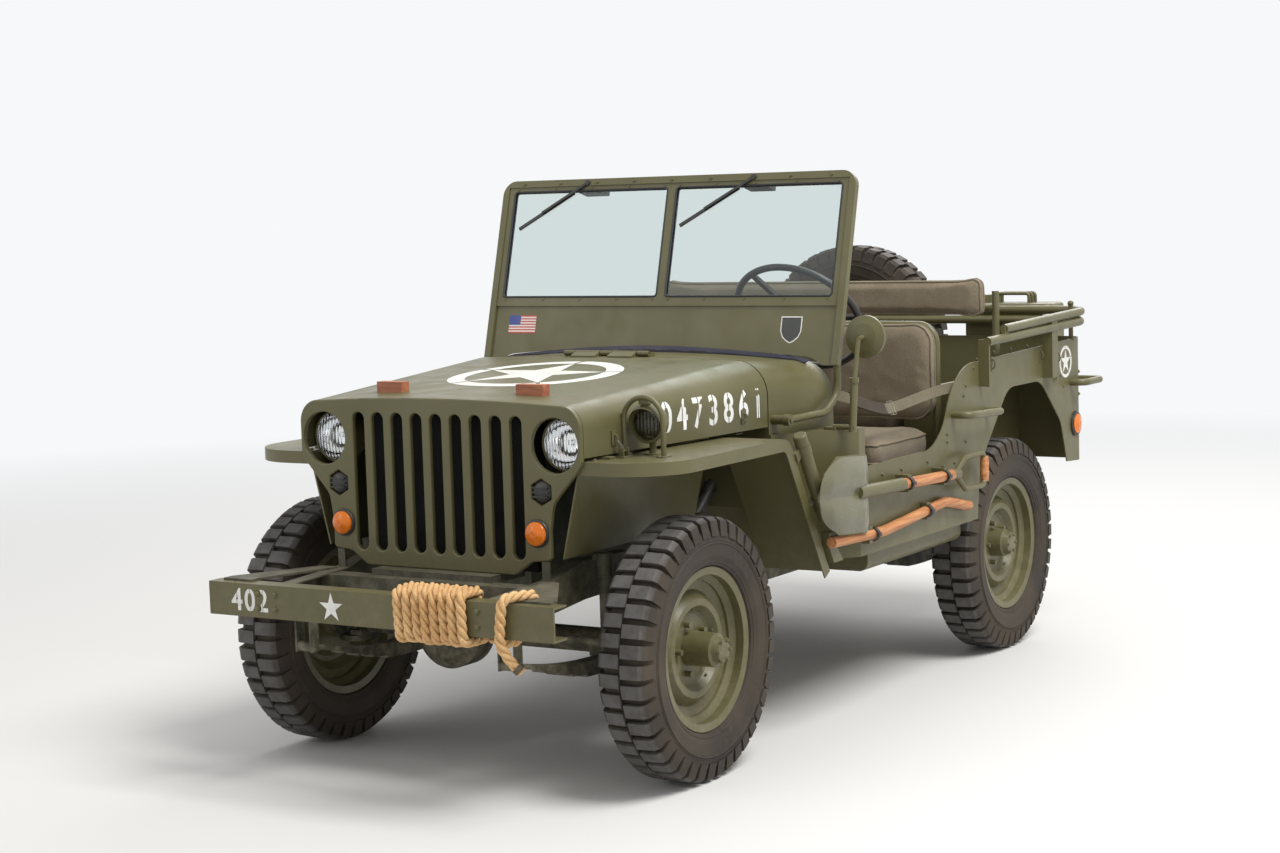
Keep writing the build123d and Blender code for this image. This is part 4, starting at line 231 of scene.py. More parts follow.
def finish_from(name, group, values, bump=0.1, distance=0.0004, metallic=0.0, **shader_values):
    """A material of a group and a Principled shader."""
    material = new_material(name, Metallic=metallic, **shader_values)
    tree = material.node_tree
    shader = tree.nodes["Principled BSDF"]
    effect = put(tree, "ShaderNodeGroup", values, node_tree=group)
    tree.links.new(effect.outputs["Color"], shader.inputs["Base Color"])
    tree.links.new(effect.outputs["Roughness"], shader.inputs["Roughness"])
    if bump:
        relief = put(tree, "ShaderNodeBump", {
            "Strength": bump, "Distance": distance, "Height": effect.outputs["Height"]})
        tree.links.new(relief.outputs["Normal"], shader.inputs["Normal"])
    return material


def painted(name, colour, faded, dust=0.3, low=0.5, sheen=(0.42, 0.6), **more):
    """A finish of the weathered paint group."""
    values = {
        "Paint": (*colour, 1),
        "Faded": (*faded, 1),
        "Dust Amount": dust,
        "Low Dirt": low,
        "Sheen Low": sheen[0],
        "Sheen High": sheen[1],
    }
    return finish_from(name, weathered_paint, values, **more)


olive = painted("olive_body_paint", (0.093, 0.084, 0.034), (0.118, 0.107, 0.049), 0.13, 0.2,
                (0.30, 0.46), Specular_IOR_Level=0.38)
chassis_paint = painted("chassis_paint", (0.04, 0.038, 0.02), (0.055, 0.052, 0.03), 0.4, 0.6,
    (0.5, 0.75))
black_paint = painted("black_paint", (0.012, 0.012, 0.012), (0.022, 0.021, 0.02), 0.3, 0.4,
    (0.35, 0.55))
tool_olive = painted("tool_olive", (0.105, 0.1, 0.055), (0.17, 0.165, 0.11), 0.25, 0.2, (0.2, 0.38))
radiator_black = painted("radiator_black", (0.004, 0.004, 0.004), (0.007, 0.007, 0.006), 0.1, 0.1,
                         (0.6, 0.8), Specular_IOR_Level=0.15)
print("paints:", olive.name, chassis_paint.name, black_paint.name)

# %% [markdown]
# Rubber is dark and dull, with brown dust in its hollows. On a tyre the tops of the lugs are
# worn pale by the road; the material finds them by their distance from the axle.

# %% Rubber
tree, given, result = new_group(
    "road_rubber",
    {"Rubber": (0.02, 0.019, 0.018, 1), "Dust": (0.13, 0.1, 0.068, 1), "Dust Amount": 0.5},
)
place, _ = object_place(tree)
film = span(tree, noise_node(tree, place, 5.0, 5, 0.6), 0.34, 0.7)
speck = span(tree, noise_node(tree, place, 55.0, 4, 0.7), 0.45, 0.75)
cover = product(tree, sums(tree, "MAXIMUM", film, speck), given.outputs["Dust Amount"])
colour = mix_colour(tree, cover, given.outputs["Rubber"], given.outputs["Dust"])
dull = span(tree, cover, 0.0, 0.6, 0.52, 0.9)
grit = noise_node(tree, place, 420.0, 3, 0.6)
road_rubber = close_group(tree, result, colour, dull, grit)


def rubber(name, colour, dust, **more):
    """A finish of the rubber group."""
    return finish_from(name, road_rubber, {"Rubber": (*colour, 1), "Dust Amount": dust}, **more)


tyre_rubber = rubber("tyre_rubber", (0.024, 0.0195, 0.016), 0.42, Specular_IOR_Level=0.25)
seal_rubber = rubber("seal_rubber", (0.008, 0.009, 0.014), 0.12)
navy_rubber = rubber("navy_rubber", (0.012, 0.014, 0.032), 0.2)

AXLE_MIDDLE_X, HALF_WHEELBASE, AXLE_HEIGHT = 0.084, 1.016, 0.3583
tree = tyre_rubber.node_tree
place, parts = object_place(tree)
from_middle = sums(tree, "ABSOLUTE", sums(tree, "SUBTRACT", parts["X"], AXLE_MIDDLE_X), 0.0)
ahead = sums(tree, "SUBTRACT", from_middle, HALF_WHEELBASE)
above = sums(tree, "SUBTRACT", parts["Z"], AXLE_HEIGHT)
square = sums(tree, "ADD", product(tree, ahead, ahead), product(tree, above, above))
top = span(tree, sums(tree, "SQRT", square, 0.0), 0.344, 0.354)
low = span(tree, parts["Z"], 0.76, 0.74)
patches = span(tree, noise_node(tree, place, 30.0, 4, 0.6), 0.3, 0.6, 0.35, 0.9)
plain = tree.nodes["Group"].outputs["Color"]
pale = mix_colour(tree, product(tree, top, low, patches), plain, (0.105, 0.1, 0.096, 1))
tree.links.new(pale, tree.nodes["Principled BSDF"].inputs["Base Color"])
print("rubber:", tyre_rubber.name, seal_rubber.name)

# %% [markdown]
# Canvas is woven, so two sets of threads cross over and under. The group makes both sets from
# waves along the piece's own axes, adds stains and wear, and gives the bump the threads' height.

# %% Canvas, webbing and rope
tree, given, result = new_group(
    "woven_canvas",
    {
        "Cloth": (0.12, 0.095, 0.06, 1),
        "Worn": (0.19, 0.155, 0.105, 1),
        "Threads": 380.0,
        "Wear": 0.6,
    },
)
place, parts = object_place(tree)
waves = []
for axis in "XYZ":
    turn = product(tree, parts[axis], given.outputs["Threads"], 6.2832)
    waves.append(product(tree, sums(tree, "SINE", turn, 0.0), 0.33))
threads = sums(tree, "ADD", sums(tree, "ADD", waves[0], waves[1]), waves[2])
stains = span(tree, noise_node(tree, place, 7.0, 6, 0.65), 0.4, 0.7)
worn = product(tree, stains, given.outputs["Wear"])
fleck = span(tree, noise_node(tree, place, 240.0, 3, 0.6), 0.3, 0.7, 0.75, 1.15)
cloth = mix_colour(tree, worn, given.outputs["Cloth"], given.outputs["Worn"])
grey = put(tree, "ShaderNodeCombineColor", {0: fleck, 1: fleck, 2: fleck}).outputs[0]
shade = mix_colour(tree, 1.0, cloth, grey, "MULTIPLY")
matt = span(tree, worn, 0.0, 1.0, 0.82, 0.94)
woven_canvas = close_group(tree, result, shade, matt, threads)


def woven(name, colour, worn, threads, wear, bump, distance=0.0006, **more):
    """A finish of the woven group."""
    values = {"Cloth": (*colour, 1), "Worn": (*worn, 1), "Threads": threads, "Wear": wear}
    return finish_from(name, woven_canvas, values, bump=bump, distance=distance, **more)


seat_canvas = woven("seat_canvas", (0.18, 0.142, 0.09), (0.26, 0.21, 0.145), 420.0, 0.6, 0.35,
    Sheen_Weight=0.1)
strap_webbing = woven("strap_webbing", (0.12, 0.1, 0.062), (0.2, 0.17, 0.11), 520.0, 0.5, 0.4)
rope_fibre = woven("rope_fibre", (0.64, 0.37, 0.15), (0.84, 0.58, 0.30), 700.0, 0.9, 0.5, 0.0012)
dark_leather = woven("dark_leather", (0.03, 0.022, 0.014), (0.07, 0.05, 0.032), 90.0, 0.7, 0.25)
print("cloths:", seat_canvas.name, strap_webbing.name, rope_fibre.name)

# %% [markdown]
# Wood shows rings stretched into long streaks along the grain. The group stretches a noise
# along one axis; each wood sets how its grain runs.

# %% Wood
tree, given, result = new_group(
    "long_grain",
    {"Light": (0.5, 0.22, 0.08, 1), "Dark": (0.26, 0.09, 0.03, 1), "Stretch": (4.0, 60.0, 60.0)},
)
place, _ = object_place(tree)
stretch = put(tree, "ShaderNodeMapping", {"Vector": place, "Scale": given.outputs["Stretch"]})
grain = noise_node(tree, stretch.outputs[0], 1.0, 6, 0.62)
streak = span(tree, grain, 0.36, 0.64)
colour = mix_colour(tree, streak, given.outputs["Light"], given.outputs["Dark"])
worn_smooth = span(tree, grain, 0.3, 0.7, 0.38, 0.6)
long_grain = close_group(tree, result, colour, worn_smooth, grain)


def wooden(name, light, dark, stretch, bump):
    """A finish of the long grain group."""
    values = {"Light": (*light, 1), "Dark": (*dark, 1), "Stretch": stretch}
    return finish_from(name, long_grain, values, bump=bump)


handle_wood = wooden("handle_wood", (0.55, 0.25, 0.095), (0.33, 0.12, 0.04), (5.0, 90.0, 90.0),
    0.25)
block_wood = wooden("block_wood", (0.42, 0.15, 0.07), (0.26, 0.08, 0.035), (70.0, 8.0, 70.0), 0.3)
print("woods:", handle_wood.name, block_wood.name)

# %% [markdown]
# Bare metals, glass and lenses need little colour work; their look comes from gloss. Dull
# steel still has a mottled skin, so it goes through the paint group too.

# %% Metals, glass and lenses
rusty_steel = painted("rusty_steel", (0.13, 0.075, 0.045), (0.2, 0.12, 0.08), 0.3, 0.3, (0.55, 0.8),
    metallic=0.4)
cast_iron = painted("cast_iron", (0.05, 0.055, 0.035), (0.08, 0.08, 0.055), 0.4, 0.6, (0.6, 0.8),
    bump=0.3)
worn_steel = painted("worn_steel", (0.2, 0.19, 0.16), (0.3, 0.28, 0.24), 0.2, 0.2, (0.3, 0.5),
                     metallic=0.8, bump=0.05)


def clear_material(name, colour, roughness, transmission=1.0):
    """Glass or clear plastic: a Principled shader that lets light through."""
    return new_material(name, Base_Color=(*colour, 1), Roughness=roughness, IOR=1.45,
                        Transmission_Weight=transmission)


def thin_pane(name, tint):
    """Flat window glass: it lets the view through unbent and mirrors more at a flat angle."""
    material = new_material(name)
    tree = material.node_tree
    tree.nodes.remove(tree.nodes["Principled BSDF"])
    through = put(tree, "ShaderNodeBsdfTransparent", {"Color": (*tint, 1)}).outputs[0]
    mirror = {"Roughness": 0.0, "Color": (0.9, 0.93, 0.95, 1)}
    gloss = put(tree, "ShaderNodeBsdfGlossy", mirror).outputs[0]
    fresnel = put(tree, "ShaderNodeFresnel", {"IOR": 1.4}).outputs[0]
    # A leaving ray isn't bent here, so the pane's far side would mirror all of a slanting view.
    backs = put(tree, "ShaderNodeNewGeometry").outputs["Backfacing"]
    share = product(tree, fresnel, sums(tree, "SUBTRACT", 1.0, backs))
    mix = put(tree, "ShaderNodeMixShader", {0: share, 1: through, 2: gloss})
    tree.links.new(mix.outputs[0], tree.nodes["Material Output"].inputs["Surface"])
    return material


pane_glass = thin_pane("pane_glass", (0.80, 0.85, 0.84))
lamp_glass = clear_material("lamp_glass", (0.96, 0.97, 0.97), 0.04)
amber_lens = clear_material("amber_lens", (1.0, 0.24, 0.01), 0.12, 0.35)
red_lens = clear_material("red_lens", (0.6, 0.015, 0.01), 0.12, 0.3)
print("clear:", pane_glass.name, lamp_glass.name, amber_lens.name)

# %% [markdown]
# The frame's solids keep their shapes and get these finishes. One table says which.

# %% Finish the frame's own pieces
finish_of = {
    "olive": olive,
    "wheel_paint": olive,
    "chassis": chassis_paint,
    "tyre": tyre_rubber,
    "engine_block": cast_iron,
    "black_metal": black_paint,
    "black_plastic": black_paint,
    "exhaust_steel": rusty_steel,
    "wood": handle_wood,
    "lamp_lens": amber_lens,
    "glass": pane_glass,
    "canvas": seat_canvas,
    "rope": rope_fibre,
    "webbing": strap_webbing,
}
for row in frame["record"]["subparts"]:
    mesh = nodes[row["node"]].data
    mesh.materials.clear()
    mesh.materials.append(finish_of[row["material_slot"]])
nodes["hood_blocks"].data.materials[0] = block_wood
nodes["radiator"].data.materials[0] = radiator_black

# %% [markdown]
# Most small parts of a car are turned, bent from rod or cut from sheet. The next helpers make
# the same three kinds of shape: a turned profile, a swept rod and a block with soft edges.

# %% Helpers for turned, swept and cut shapes


def around(count, start=0.0, turns=1.0):
    """Cosines and sines at even steps of a turn, or of a part of one with both its ends."""
    last = count if turns == 1.0 else count + 1
    angles = [start + 2 * math.pi * turns * step / count for step in range(last)]
    return [(math.cos(angle), math.sin(angle)) for angle in angles]


def rounded(low, high, corner, steps, outward=0.0):
    """The outline of a rectangle with round corners, which may stand outward of it."""
    outline = []
    for sx, sy, start in ((1, 1, 0), (-1, 1, 90), (-1, -1, 180), (1, -1, 270)):
        for step in range(steps + 1):
            angle = math.radians(start + 90 * step / steps)
            x = (high[0] if sx > 0 else low[0]) - sx * corner + (corner + outward) * math.cos(angle)
            y = (high[1] if sy > 0 else low[1]) - sy * corner + (corner + outward) * math.sin(angle)
            outline.append((x, y))
    return outline


def skin(shape, rings, closed=False):
    """Joins equal rings by faces, and closes both ends unless the row of rings is a loop."""
    count = len(rings[0])
    joins = list(zip(rings, rings[1:])) + ([(rings[-1], rings[0])] if closed else [])
    for first, second in joins:
        for i in range(count):
            j = (i + 1) % count
            shape.faces.new((first[i], first[j], second[j], second[i]))
    if not closed:
        shape.faces.new(rings[0][::-1])
        shape.faces.new(rings[-1])


def lathe(shape, place, axis, profile, sides=48):
    """Adds a turned surface; the profile holds (height along the axis, radius)."""
    matrix = frame_at(place, axis)
    rings = []
    for height, radius in profile:
        spots = [(radius * c, radius * s, height) for c, s in around(sides)]
        if radius <= 1e-6:
            spots = spots[:1]
        rings.append([shape.verts.new(matrix @ Vector(spot)) for spot in spots])
    for low, high in zip(rings, rings[1:]):
        for i in range(sides):
            j = (i + 1) % sides
            corners = [ring[k % len(ring)]
                for ring, k in ((low, i), (low, j), (high, j), (high, i))]
            corners = list(dict.fromkeys(corners))
            if len(corners) > 2:
                shape.faces.new(corners)


def sweep(shape, points, radius, sides=10, closed=False):
    """Adds a round rod that follows points; radius may be one number or one for each point."""
    points = [Vector(point) for point in points]
    count = len(points)
    radii = [radius] * count if isinstance(radius, (int, float)) else radius
    side = None
    rings = []
    for i, point in enumerate(points):
        ahead = points[(i + 1) % count] if closed or i < count - 1 else point
        behind = points[i - 1] if closed or i else point
        along = (ahead - behind).normalized()
        side = along.orthogonal() if side is None else side - along * side.dot(along)
        side.normalize()
        other = along.cross(side)
        spots = [point + radii[i] * (c * side + s * other) for c, s in around(sides)]
        rings.append([shape.verts.new(spot) for spot in spots])
    skin(shape, rings, closed)


def block(shape, low, high, bevel=0.0, turn=None):
    """Adds a box between two corners, with rounded edges and an optional turn."""
    made = bmesh.ops.create_cube(shape, size=1.0)["verts"]
    low, high = Vector(low), Vector(high)
    bmesh.ops.scale(shape, vec=high - low, verts=made)
    bmesh.ops.translate(shape, vec=(low + high) / 2, verts=made)
    if turn:
        bmesh.ops.transform(shape, matrix=turn, verts=made)
    if bevel:
        edges = list({edge for vert in made for edge in vert.link_edges})
        bmesh.ops.bevel(shape, geom=edges, offset=bevel, segments=2, affect="EDGES", profile=0.6)


def piece(name, shape, material, body, smooth=True, sharp=35):
    """Closes a bmesh into a piece that rides on a body and takes a slot's finish."""
    bmesh.ops.remove_doubles(shape, verts=shape.verts, dist=1e-6)
    bmesh.ops.recalc_face_normals(shape, faces=shape.faces)
    obj = add_mesh(name, shape, material, smooth)
    if smooth:
        obj.data.set_sharp_from_angle(angle=math.radians(sharp))
    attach(obj, body)
    return obj


def tree_of(mesh):
    """The search tree of a mesh's faces."""
    faces = [tuple(face.vertices) for face in mesh.polygons]
    return BVHTree.FromPolygons([vert.co for vert in mesh.vertices], faces)


surface_trees = {}


def surface_of(node):
    """The search tree of a frame piece's faces."""
    if node not in surface_trees:
        surface_trees[node] = tree_of(nodes[node].data)
    return surface_trees[node]


print("shape helpers ready")

# %% [markdown]
# A rope of three strands is laid up by twisting: each strand is a helix round the rope's line.
# The rope is wound on the bumper in close turns, goes once more round it by itself, and its
# whipped end is left hanging. The line is one smooth spline, and the strands follow it.

# %% Rope on the bumper
ROPE_DIAMETER = 0.028
TURN_PITCH = 0.0287
TURNS = 8
LAY_LENGTH = 0.082
BUMPER_LOW = (1.618, 0.469)
BUMPER_HIGH = (1.680, 0.560)
STAND_OFF = 0.0165

# Twelve points go round the bumper once, starting low behind it, then up and over the top
low_x, low_z = BUMPER_LOW[0] - STAND_OFF, BUMPER_LOW[1] - STAND_OFF
high_x, high_z = BUMPER_HIGH[0] + STAND_OFF, BUMPER_HIGH[1] + STAND_OFF
middle_x, middle_z = (low_x + high_x) / 2, (low_z + high_z) / 2
CUT_CORNER = 0.0098
round_the_bumper = [
    (low_x, low_z + CUT_CORNER), (low_x, middle_z), (low_x, high_z - CUT_CORNER),
    (low_x + CUT_CORNER, high_z), (middle_x, high_z), (high_x - CUT_CORNER, high_z),
    (high_x, high_z - CUT_CORNER), (high_x, middle_z), (high_x, low_z + CUT_CORNER),
    (high_x - CUT_CORNER, low_z), (middle_x, low_z), (low_x + CUT_CORNER, low_z),
]
route = []
for turn_number in range(TURNS):
    for step, (x, z) in enumerate(round_the_bumper):
        y = 0.079 + TURN_PITCH * (turn_number + step / 12)
        swell = 0.0016 * math.sin(2.1 * turn_number + 1.0)
        route.append((x + (swell if x > middle_x else 0), y, z - (swell if z < middle_z else 0)))
# columns: x, y, z, from the last turn under the bumper to the single turn and the tail
route += [
    (1.603, 0.312, 0.466), (1.612, 0.340, 0.448), (1.618, 0.372, 0.444), (1.612, 0.405, 0.450),
    (1.6015, 0.430, 0.478), (1.6015, 0.448, 0.520), (1.6015, 0.458, 0.566), (1.612, 0.460, 0.5765),
    (1.632, 0.453, 0.5775), (1.655, 0.442, 0.5775), (1.682, 0.430, 0.5775), (1.6975, 0.424, 0.566),
    (1.6985, 0.421, 0.535), (1.6985, 0.417, 0.495), (1.6975, 0.414, 0.462), (1.690, 0.421, 0.438),
    (1.683, 0.436, 0.414), (1.675, 0.448, 0.398), (1.668, 0.459, 0.386),
]


def spline_points(name, points):
    """The points along a smooth NURBS spline, as Blender evaluates it."""
    curve = bpy.data.curves.new(name, "CURVE")
    curve.dimensions = "3D"
    curve.resolution_u = 5
    spline = curve.splines.new("NURBS")
    spline.points.add(len(points) - 1)
    for spot, point in zip(spline.points, points):
        spot.co = (*point, 1)
    spline.order_u = 3
    spline.use_endpoint_u = True
    holder = bpy.data.objects.new(name, curve)
    mesh = bpy.data.meshes.new_from_object(holder)
    found = [vert.co.copy() for vert in mesh.vertices]
    bpy.data.meshes.remove(mesh)
    bpy.data.objects.remove(holder)
    bpy.data.curves.remove(curve)
    return found


def lay_strands(shape, line, diameter, lay_length, strands=3, sides=8):
    """Twists strands round a line."""
    strand = diameter / 2 / 2.1547
    centre = diameter / 2 - strand
    side = None
    travelled = 0.0
    places = [[] for _ in range(strands)]
    for i, point in enumerate(line):
        ahead = line[min(i + 1, len(line) - 1)]
        behind = line[max(i - 1, 0)]
        along = (ahead - behind).normalized()
        side = along.orthogonal() if side is None else side - along * side.dot(along)
        side.normalize()
        other = along.cross(side)
        if i:
            travelled += (point - line[i - 1]).length
        for number in range(strands):
            angle = -2 * math.pi * (travelled / lay_length + number / strands)
            away = math.cos(angle) * side + math.sin(angle) * other
            places[number].append(point + centre * away)
    for path in places:
        sweep(shape, path, strand * 1.07, sides)
    return travelled


rope_line = spline_points("rope_route", route)
rope_shape = bmesh.new()
rope_length = lay_strands(rope_shape, rope_line, ROPE_DIAMETER, LAY_LENGTH)
rope = piece("bumper_rope", rope_shape, rope_fibre, "car_body", sharp=60)
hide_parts("rope_coil", "rope_wrap", "rope_tail")
whipping = bmesh.new()
end_way = (rope_line[-1] - rope_line[-4]).normalized()
for number in range(7):
    centre = rope_line[-1] - end_way * (0.006 + 0.0022 * number)
    turn = frame_at(centre, end_way)
    ring = [turn @ Vector((0.0148 * c, 0.0148 * s, 0)) for c, s in around(20)]
    sweep(whipping, ring, 0.0012, 6, closed=True)
rope_whipping = piece("rope_end_whipping", whipping, strap_webbing, "car_body")
print("rope length", round(rope_length, 3), "points", len(rope_line))

# %% [markdown]
# A headlamp is a pressed bowl with a rolled bezel, a silvered reflector and a ribbed glass that
# spreads the beam. The reflector sits inside the bowl, so the lamp is rebuilt here as the three
# real parts, in the same place as the plain one that the frame carries.

# %% Lamp materials
reflector_silver = painted("reflector_silver", (0.86, 0.87, 0.88), (0.9, 0.9, 0.91), 0.0, 0.0,
                           (0.06, 0.12), metallic=1.0, bump=0.0)


def rib_bump(material, axis, pitch, depth):
    """Adds straight moulded ribs to a clear lens, across one of the car's axes."""
    tree = material.node_tree
    _, parts = object_place(tree)
    wave = sums(tree, "SINE", product(tree, parts[axis], 6.2832 / pitch), 0.0)
    relief = put(tree, "ShaderNodeBump", {"Distance": depth, "Strength": 0.7, "Height": wave})
    tree.links.new(relief.outputs["Normal"], tree.nodes["Principled BSDF"].inputs["Normal"])


rib_bump(lamp_glass, "Y", 0.011, 0.0012)
print("lamp materials ready")

# %% Headlamps
HEADLAMP_Y = 0.387
HEADLAMP_Z = 0.928
# columns: height along the lamp's axis from the bowl's back, radius
BOWL_OUTSIDE = [
    (0.0, 0.0), (0.002, 0.034), (0.010, 0.050), (0.022, 0.058), (0.045, 0.066), (0.068, 0.070),
    (0.093, 0.070), (0.094, 0.0738), (0.103, 0.0745), (0.110, 0.0735), (0.1135, 0.0712),
    (0.1145, 0.0690), (0.1125, 0.0672), (0.108, 0.0668),
]
BOWL_INSIDE = [
    (0.108, 0.0668), (0.098, 0.0655), (0.080, 0.060), (0.064, 0.051), (0.053, 0.040),
    (0.046, 0.027), (0.043, 0.014), (0.042, 0.0),
]
LENS_FRONT = [
    (0.1065, 0.0666), (0.110, 0.064), (0.1135, 0.055), (0.1165, 0.040), (0.1185, 0.020),
    (0.119, 0.0),
]
BULB = [
    (0.0, 0.0), (0.0, 0.010), (0.014, 0.010), (0.022, 0.0135), (0.030, 0.012), (0.034, 0.006),
    (0.035, 0.0),
]
for side, label in ((1, "left"), (-1, "right")):
    lamp_y = side * HEADLAMP_Y
    spot = (1.222, lamp_y, HEADLAMP_Z)
    bowl = bmesh.new()
    lathe(bowl, spot, (1, 0, 0), BOWL_OUTSIDE, 64)
    foot_low, foot_high = sorted((side * 0.430, side * 0.5))
    block(bowl, (1.262, foot_low, 0.8862), (1.290, foot_high, 0.892), 0.001)
    # columns: x, distance from the car's middle, z, up the lamp's bracket
    bracket = ((1.276, 0.452, 0.892), (1.276, 0.447, 0.905), (1.278, 0.438, 0.915))
    sweep(bowl, [(x, side * y, z) for x, y, z in bracket], 0.008, 12)
    block(bowl, (1.333, lamp_y - 0.007, 0.8505), (1.3385, lamp_y + 0.007, 0.8605), 0.0012)
    piece(f"headlamp_bowl_{label}", bowl, olive, "car_body", sharp=50)
    silver = bmesh.new()
    lathe(silver, spot, (1, 0, 0), BOWL_INSIDE, 64)
    lathe(silver, (1.2655, lamp_y, HEADLAMP_Z), (1, 0, 0), BULB, 32)
    piece(f"headlamp_reflector_{label}", silver, reflector_silver, "car_body",
          sharp=60)
    lens_shape = bmesh.new()
    lathe(lens_shape, spot, (1, 0, 0), LENS_FRONT, 64)
    lathe(lens_shape, spot, (1, 0, 0), [(h - 0.0022, r) for h, r in LENS_FRONT], 64)
    bmesh.ops.remove_doubles(lens_shape, verts=lens_shape.verts, dist=1e-6)
    rims = [edge for edge in lens_shape.edges if edge.is_boundary]
    bmesh.ops.bridge_loops(lens_shape, edges=rims)
    lens = piece(f"headlamp_lens_{label}", lens_shape, lamp_glass, "car_body")
    if side > 0:
        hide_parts("front_lamps")
print("headlamps built")

# %% [markdown]
# The hooded lamp on the left fender was for driving in the dark: a small bowl with a hood that
# throws a low, weak beam. A bent rod over it keeps brushwood off. The drum could be a curve with
# a Screw modifier; here the turning helper makes it, as it does the headlamps. The hood is three
# arcs joined by faces, because its front edge drops at the top.

# %% Hooded lamp and its guard
BLACKOUT = (1.118, 0.550, 0.972)
DRUM = 1.2  # the drum against the radii of its table
FENDER_TOP = 0.8862
GUARD_X, GUARD_HALF = 1.200, 0.061
# columns: height along the lamp's axis from the drum's back, radius
DRUM_OUTSIDE = [
    (0, 0), (0.001, 0.012), (0.004, 0.022), (0.012, 0.031), (0.024, 0.037), (0.040, 0.0405),
    (0.056, 0.0415), (0.057, 0.0445), (0.064, 0.0448), (0.068, 0.043), (0.068, 0.039),
    (0.058, 0.037),
]
hooded = bmesh.new()
lathe(hooded, BLACKOUT, (1, 0, 0), [(height, radius * DRUM) for height, radius in DRUM_OUTSIDE], 48)
shade_rows = []
# columns: reach ahead of the drum's back, radius, how far the front edge drops
for reach, radius, drop in ((0.060, 0.0432, 0.0), (0.078, 0.0430, 0.0), (0.092, 0.0405, 0.006)):
    row = []
    radius, drop = radius * DRUM, drop * DRUM
    for c, s in around(16, turns=0.5):
        back = 0.018 * (1 - s) if reach > 0.065 else 0.0
        spot = Vector(BLACKOUT) + Vector((reach - back, radius * c, (radius - drop) * s))
        row.append(hooded.verts.new(spot))
    shade_rows.append(row)
for low_row, high_row in zip(shade_rows, shade_rows[1:]):
    for i in range(16):
        hooded.faces.new((low_row[i], low_row[i + 1], high_row[i + 1], high_row[i]))
lathe(hooded, (1.155, 0.550, FENDER_TOP), (0, 0, 1), [
    (0, 0), (0, 0.022), (0.004, 0.022), (0.005, 0.0095), (0.040, 0.009), (0.046, 0.014),
    (0.052, 0.014), (0.0525, 0.0)], 24)
arch = [(0.550 + GUARD_HALF * c, 0.982 + GUARD_HALF * s) for c, s in around(24, turns=0.5)]
legs = [[(0.550 + side * GUARD_HALF, z) for z in (0.8865, 0.95)] for side in (1, -1)]
guard = legs[0] + arch + legs[1][::-1]
sweep(hooded, [(GUARD_X, y, z) for y, z in guard], 0.0072, 12)
block(hooded, (GUARD_X - 0.022, 0.536, 1.024), (GUARD_X, 0.564, 1.038), 0.002)
for side in (-1, 1):
    foot_y = 0.550 + side * GUARD_HALF
    block(hooded, (GUARD_X - 0.022, foot_y - 0.012, FENDER_TOP),
          (GUARD_X + 0.022, foot_y + 0.012, FENDER_TOP + 0.003), 0.0008)
piece("hooded_lamp", hooded, olive, "car_body", sharp=50)
blackout_face = bmesh.new()
lens_rows = ((0, 0.0385), (0.004, 0.034), (0.006, 0.02), (0.0065, 0))
lathe(blackout_face, (1.176, 0.550, 0.972), (1, 0, 0), [(h, r * DRUM) for h, r in lens_rows], 48)
piece("hooded_lamp_lens", blackout_face, lamp_glass, "car_body")
print("hooded lamp built")

# %% [markdown]
# The small lamps: louvred markers behind the six-sided holes, amber indicators in rubber rings
# and, at the rear, red lamps and amber reflectors in dark bezels. All are turned shapes. A lens
# could get its rings from bump alone, but their steps catch the light at its edge, so they are
# in the profile.

# %% Small lamps
def ringed_lens(shape, place, axis, radius, height):
    """A moulded lens with steps that stand as rings round its middle."""
    profile = [(0.0, radius), (height * 0.35, radius)]
    for number in range(1, 7):
        share = 1 - number / 6.6
        rise = height * (0.35 + 0.65 * (1 - share * share))
        profile.append((rise - height * 0.05, radius * share * 1.10))
        profile.append((rise + height * 0.02, radius * share * 1.03))
    profile.append((height, 0.0))
    lathe(shape, place, axis, profile, 48)


# columns: height along the lamp's axis, radius
INDICATOR = [(0, 0.0), (0, 0.0372), (0.004, 0.0378), (0.007, 0.036), (0.008, 0.0325), (0.008, 0.0)]
MARKER = [(0, 0.0), (0, 0.042), (0.003, 0.042), (0.003, 0.0)]
MARKER_FACE = [
    (0, 0.0315), (0.008, 0.0315), (0.011, 0.0290), (0.018, 0.022), (0.021, 0.010), (0.0215, 0),
]
REAR_LAMP = [(0, 0.0), (0, 0.0262), (0.021, 0.0262), (0.023, 0.0245), (0.023, 0.0)]
REAR_FACE = [(0, 0.0235), (0.002, 0.0225), (0.003, 0.015), (0.0033, 0)]
REFLECTOR = [(0, 0.0), (0, 0.044), (0.006, 0.0435), (0.009, 0.040), (0.009, 0.0)]
small_bodies = bmesh.new()
amber = bmesh.new()
dark_lens = bmesh.new()
for side in (-1, 1):
    lathe(small_bodies, (1.3845, side * 0.326, 0.694), (1, 0, 0), INDICATOR)
    ringed_lens(amber, (1.3915, side * 0.326, 0.694), (1, 0, 0), 0.0318, 0.018)
    y, z = side * 0.341, 0.804
    lathe(small_bodies, (1.3638, y, z), (1, 0, 0), MARKER)
    lathe(dark_lens, (1.3668, y, z), (1, 0, 0), MARKER_FACE)
    for height in (-0.012, 0.0, 0.012):
        reach = math.sqrt(0.026 ** 2 - height ** 2)
        middle = z + height
        block(dark_lens, (1.379, y - reach, middle - 0.0022), (1.3905, y + reach, middle + 0.0022),
              0.001)
    lathe(small_bodies, (-1.515, side * 0.634, 0.690), (-1, 0, 0), REAR_LAMP, 40)
    lathe(small_bodies, (-1.434, side * 0.715, 0.718), (0, side, 0), REFLECTOR)
    ringed_lens(amber, (-1.434, side * 0.7235, 0.718), (0, side, 0), 0.0345, 0.0075)
bodies_piece = piece("small_lamp_bodies", small_bodies, black_paint, "car_body")
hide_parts("marker_lamps", "rear_lamps")
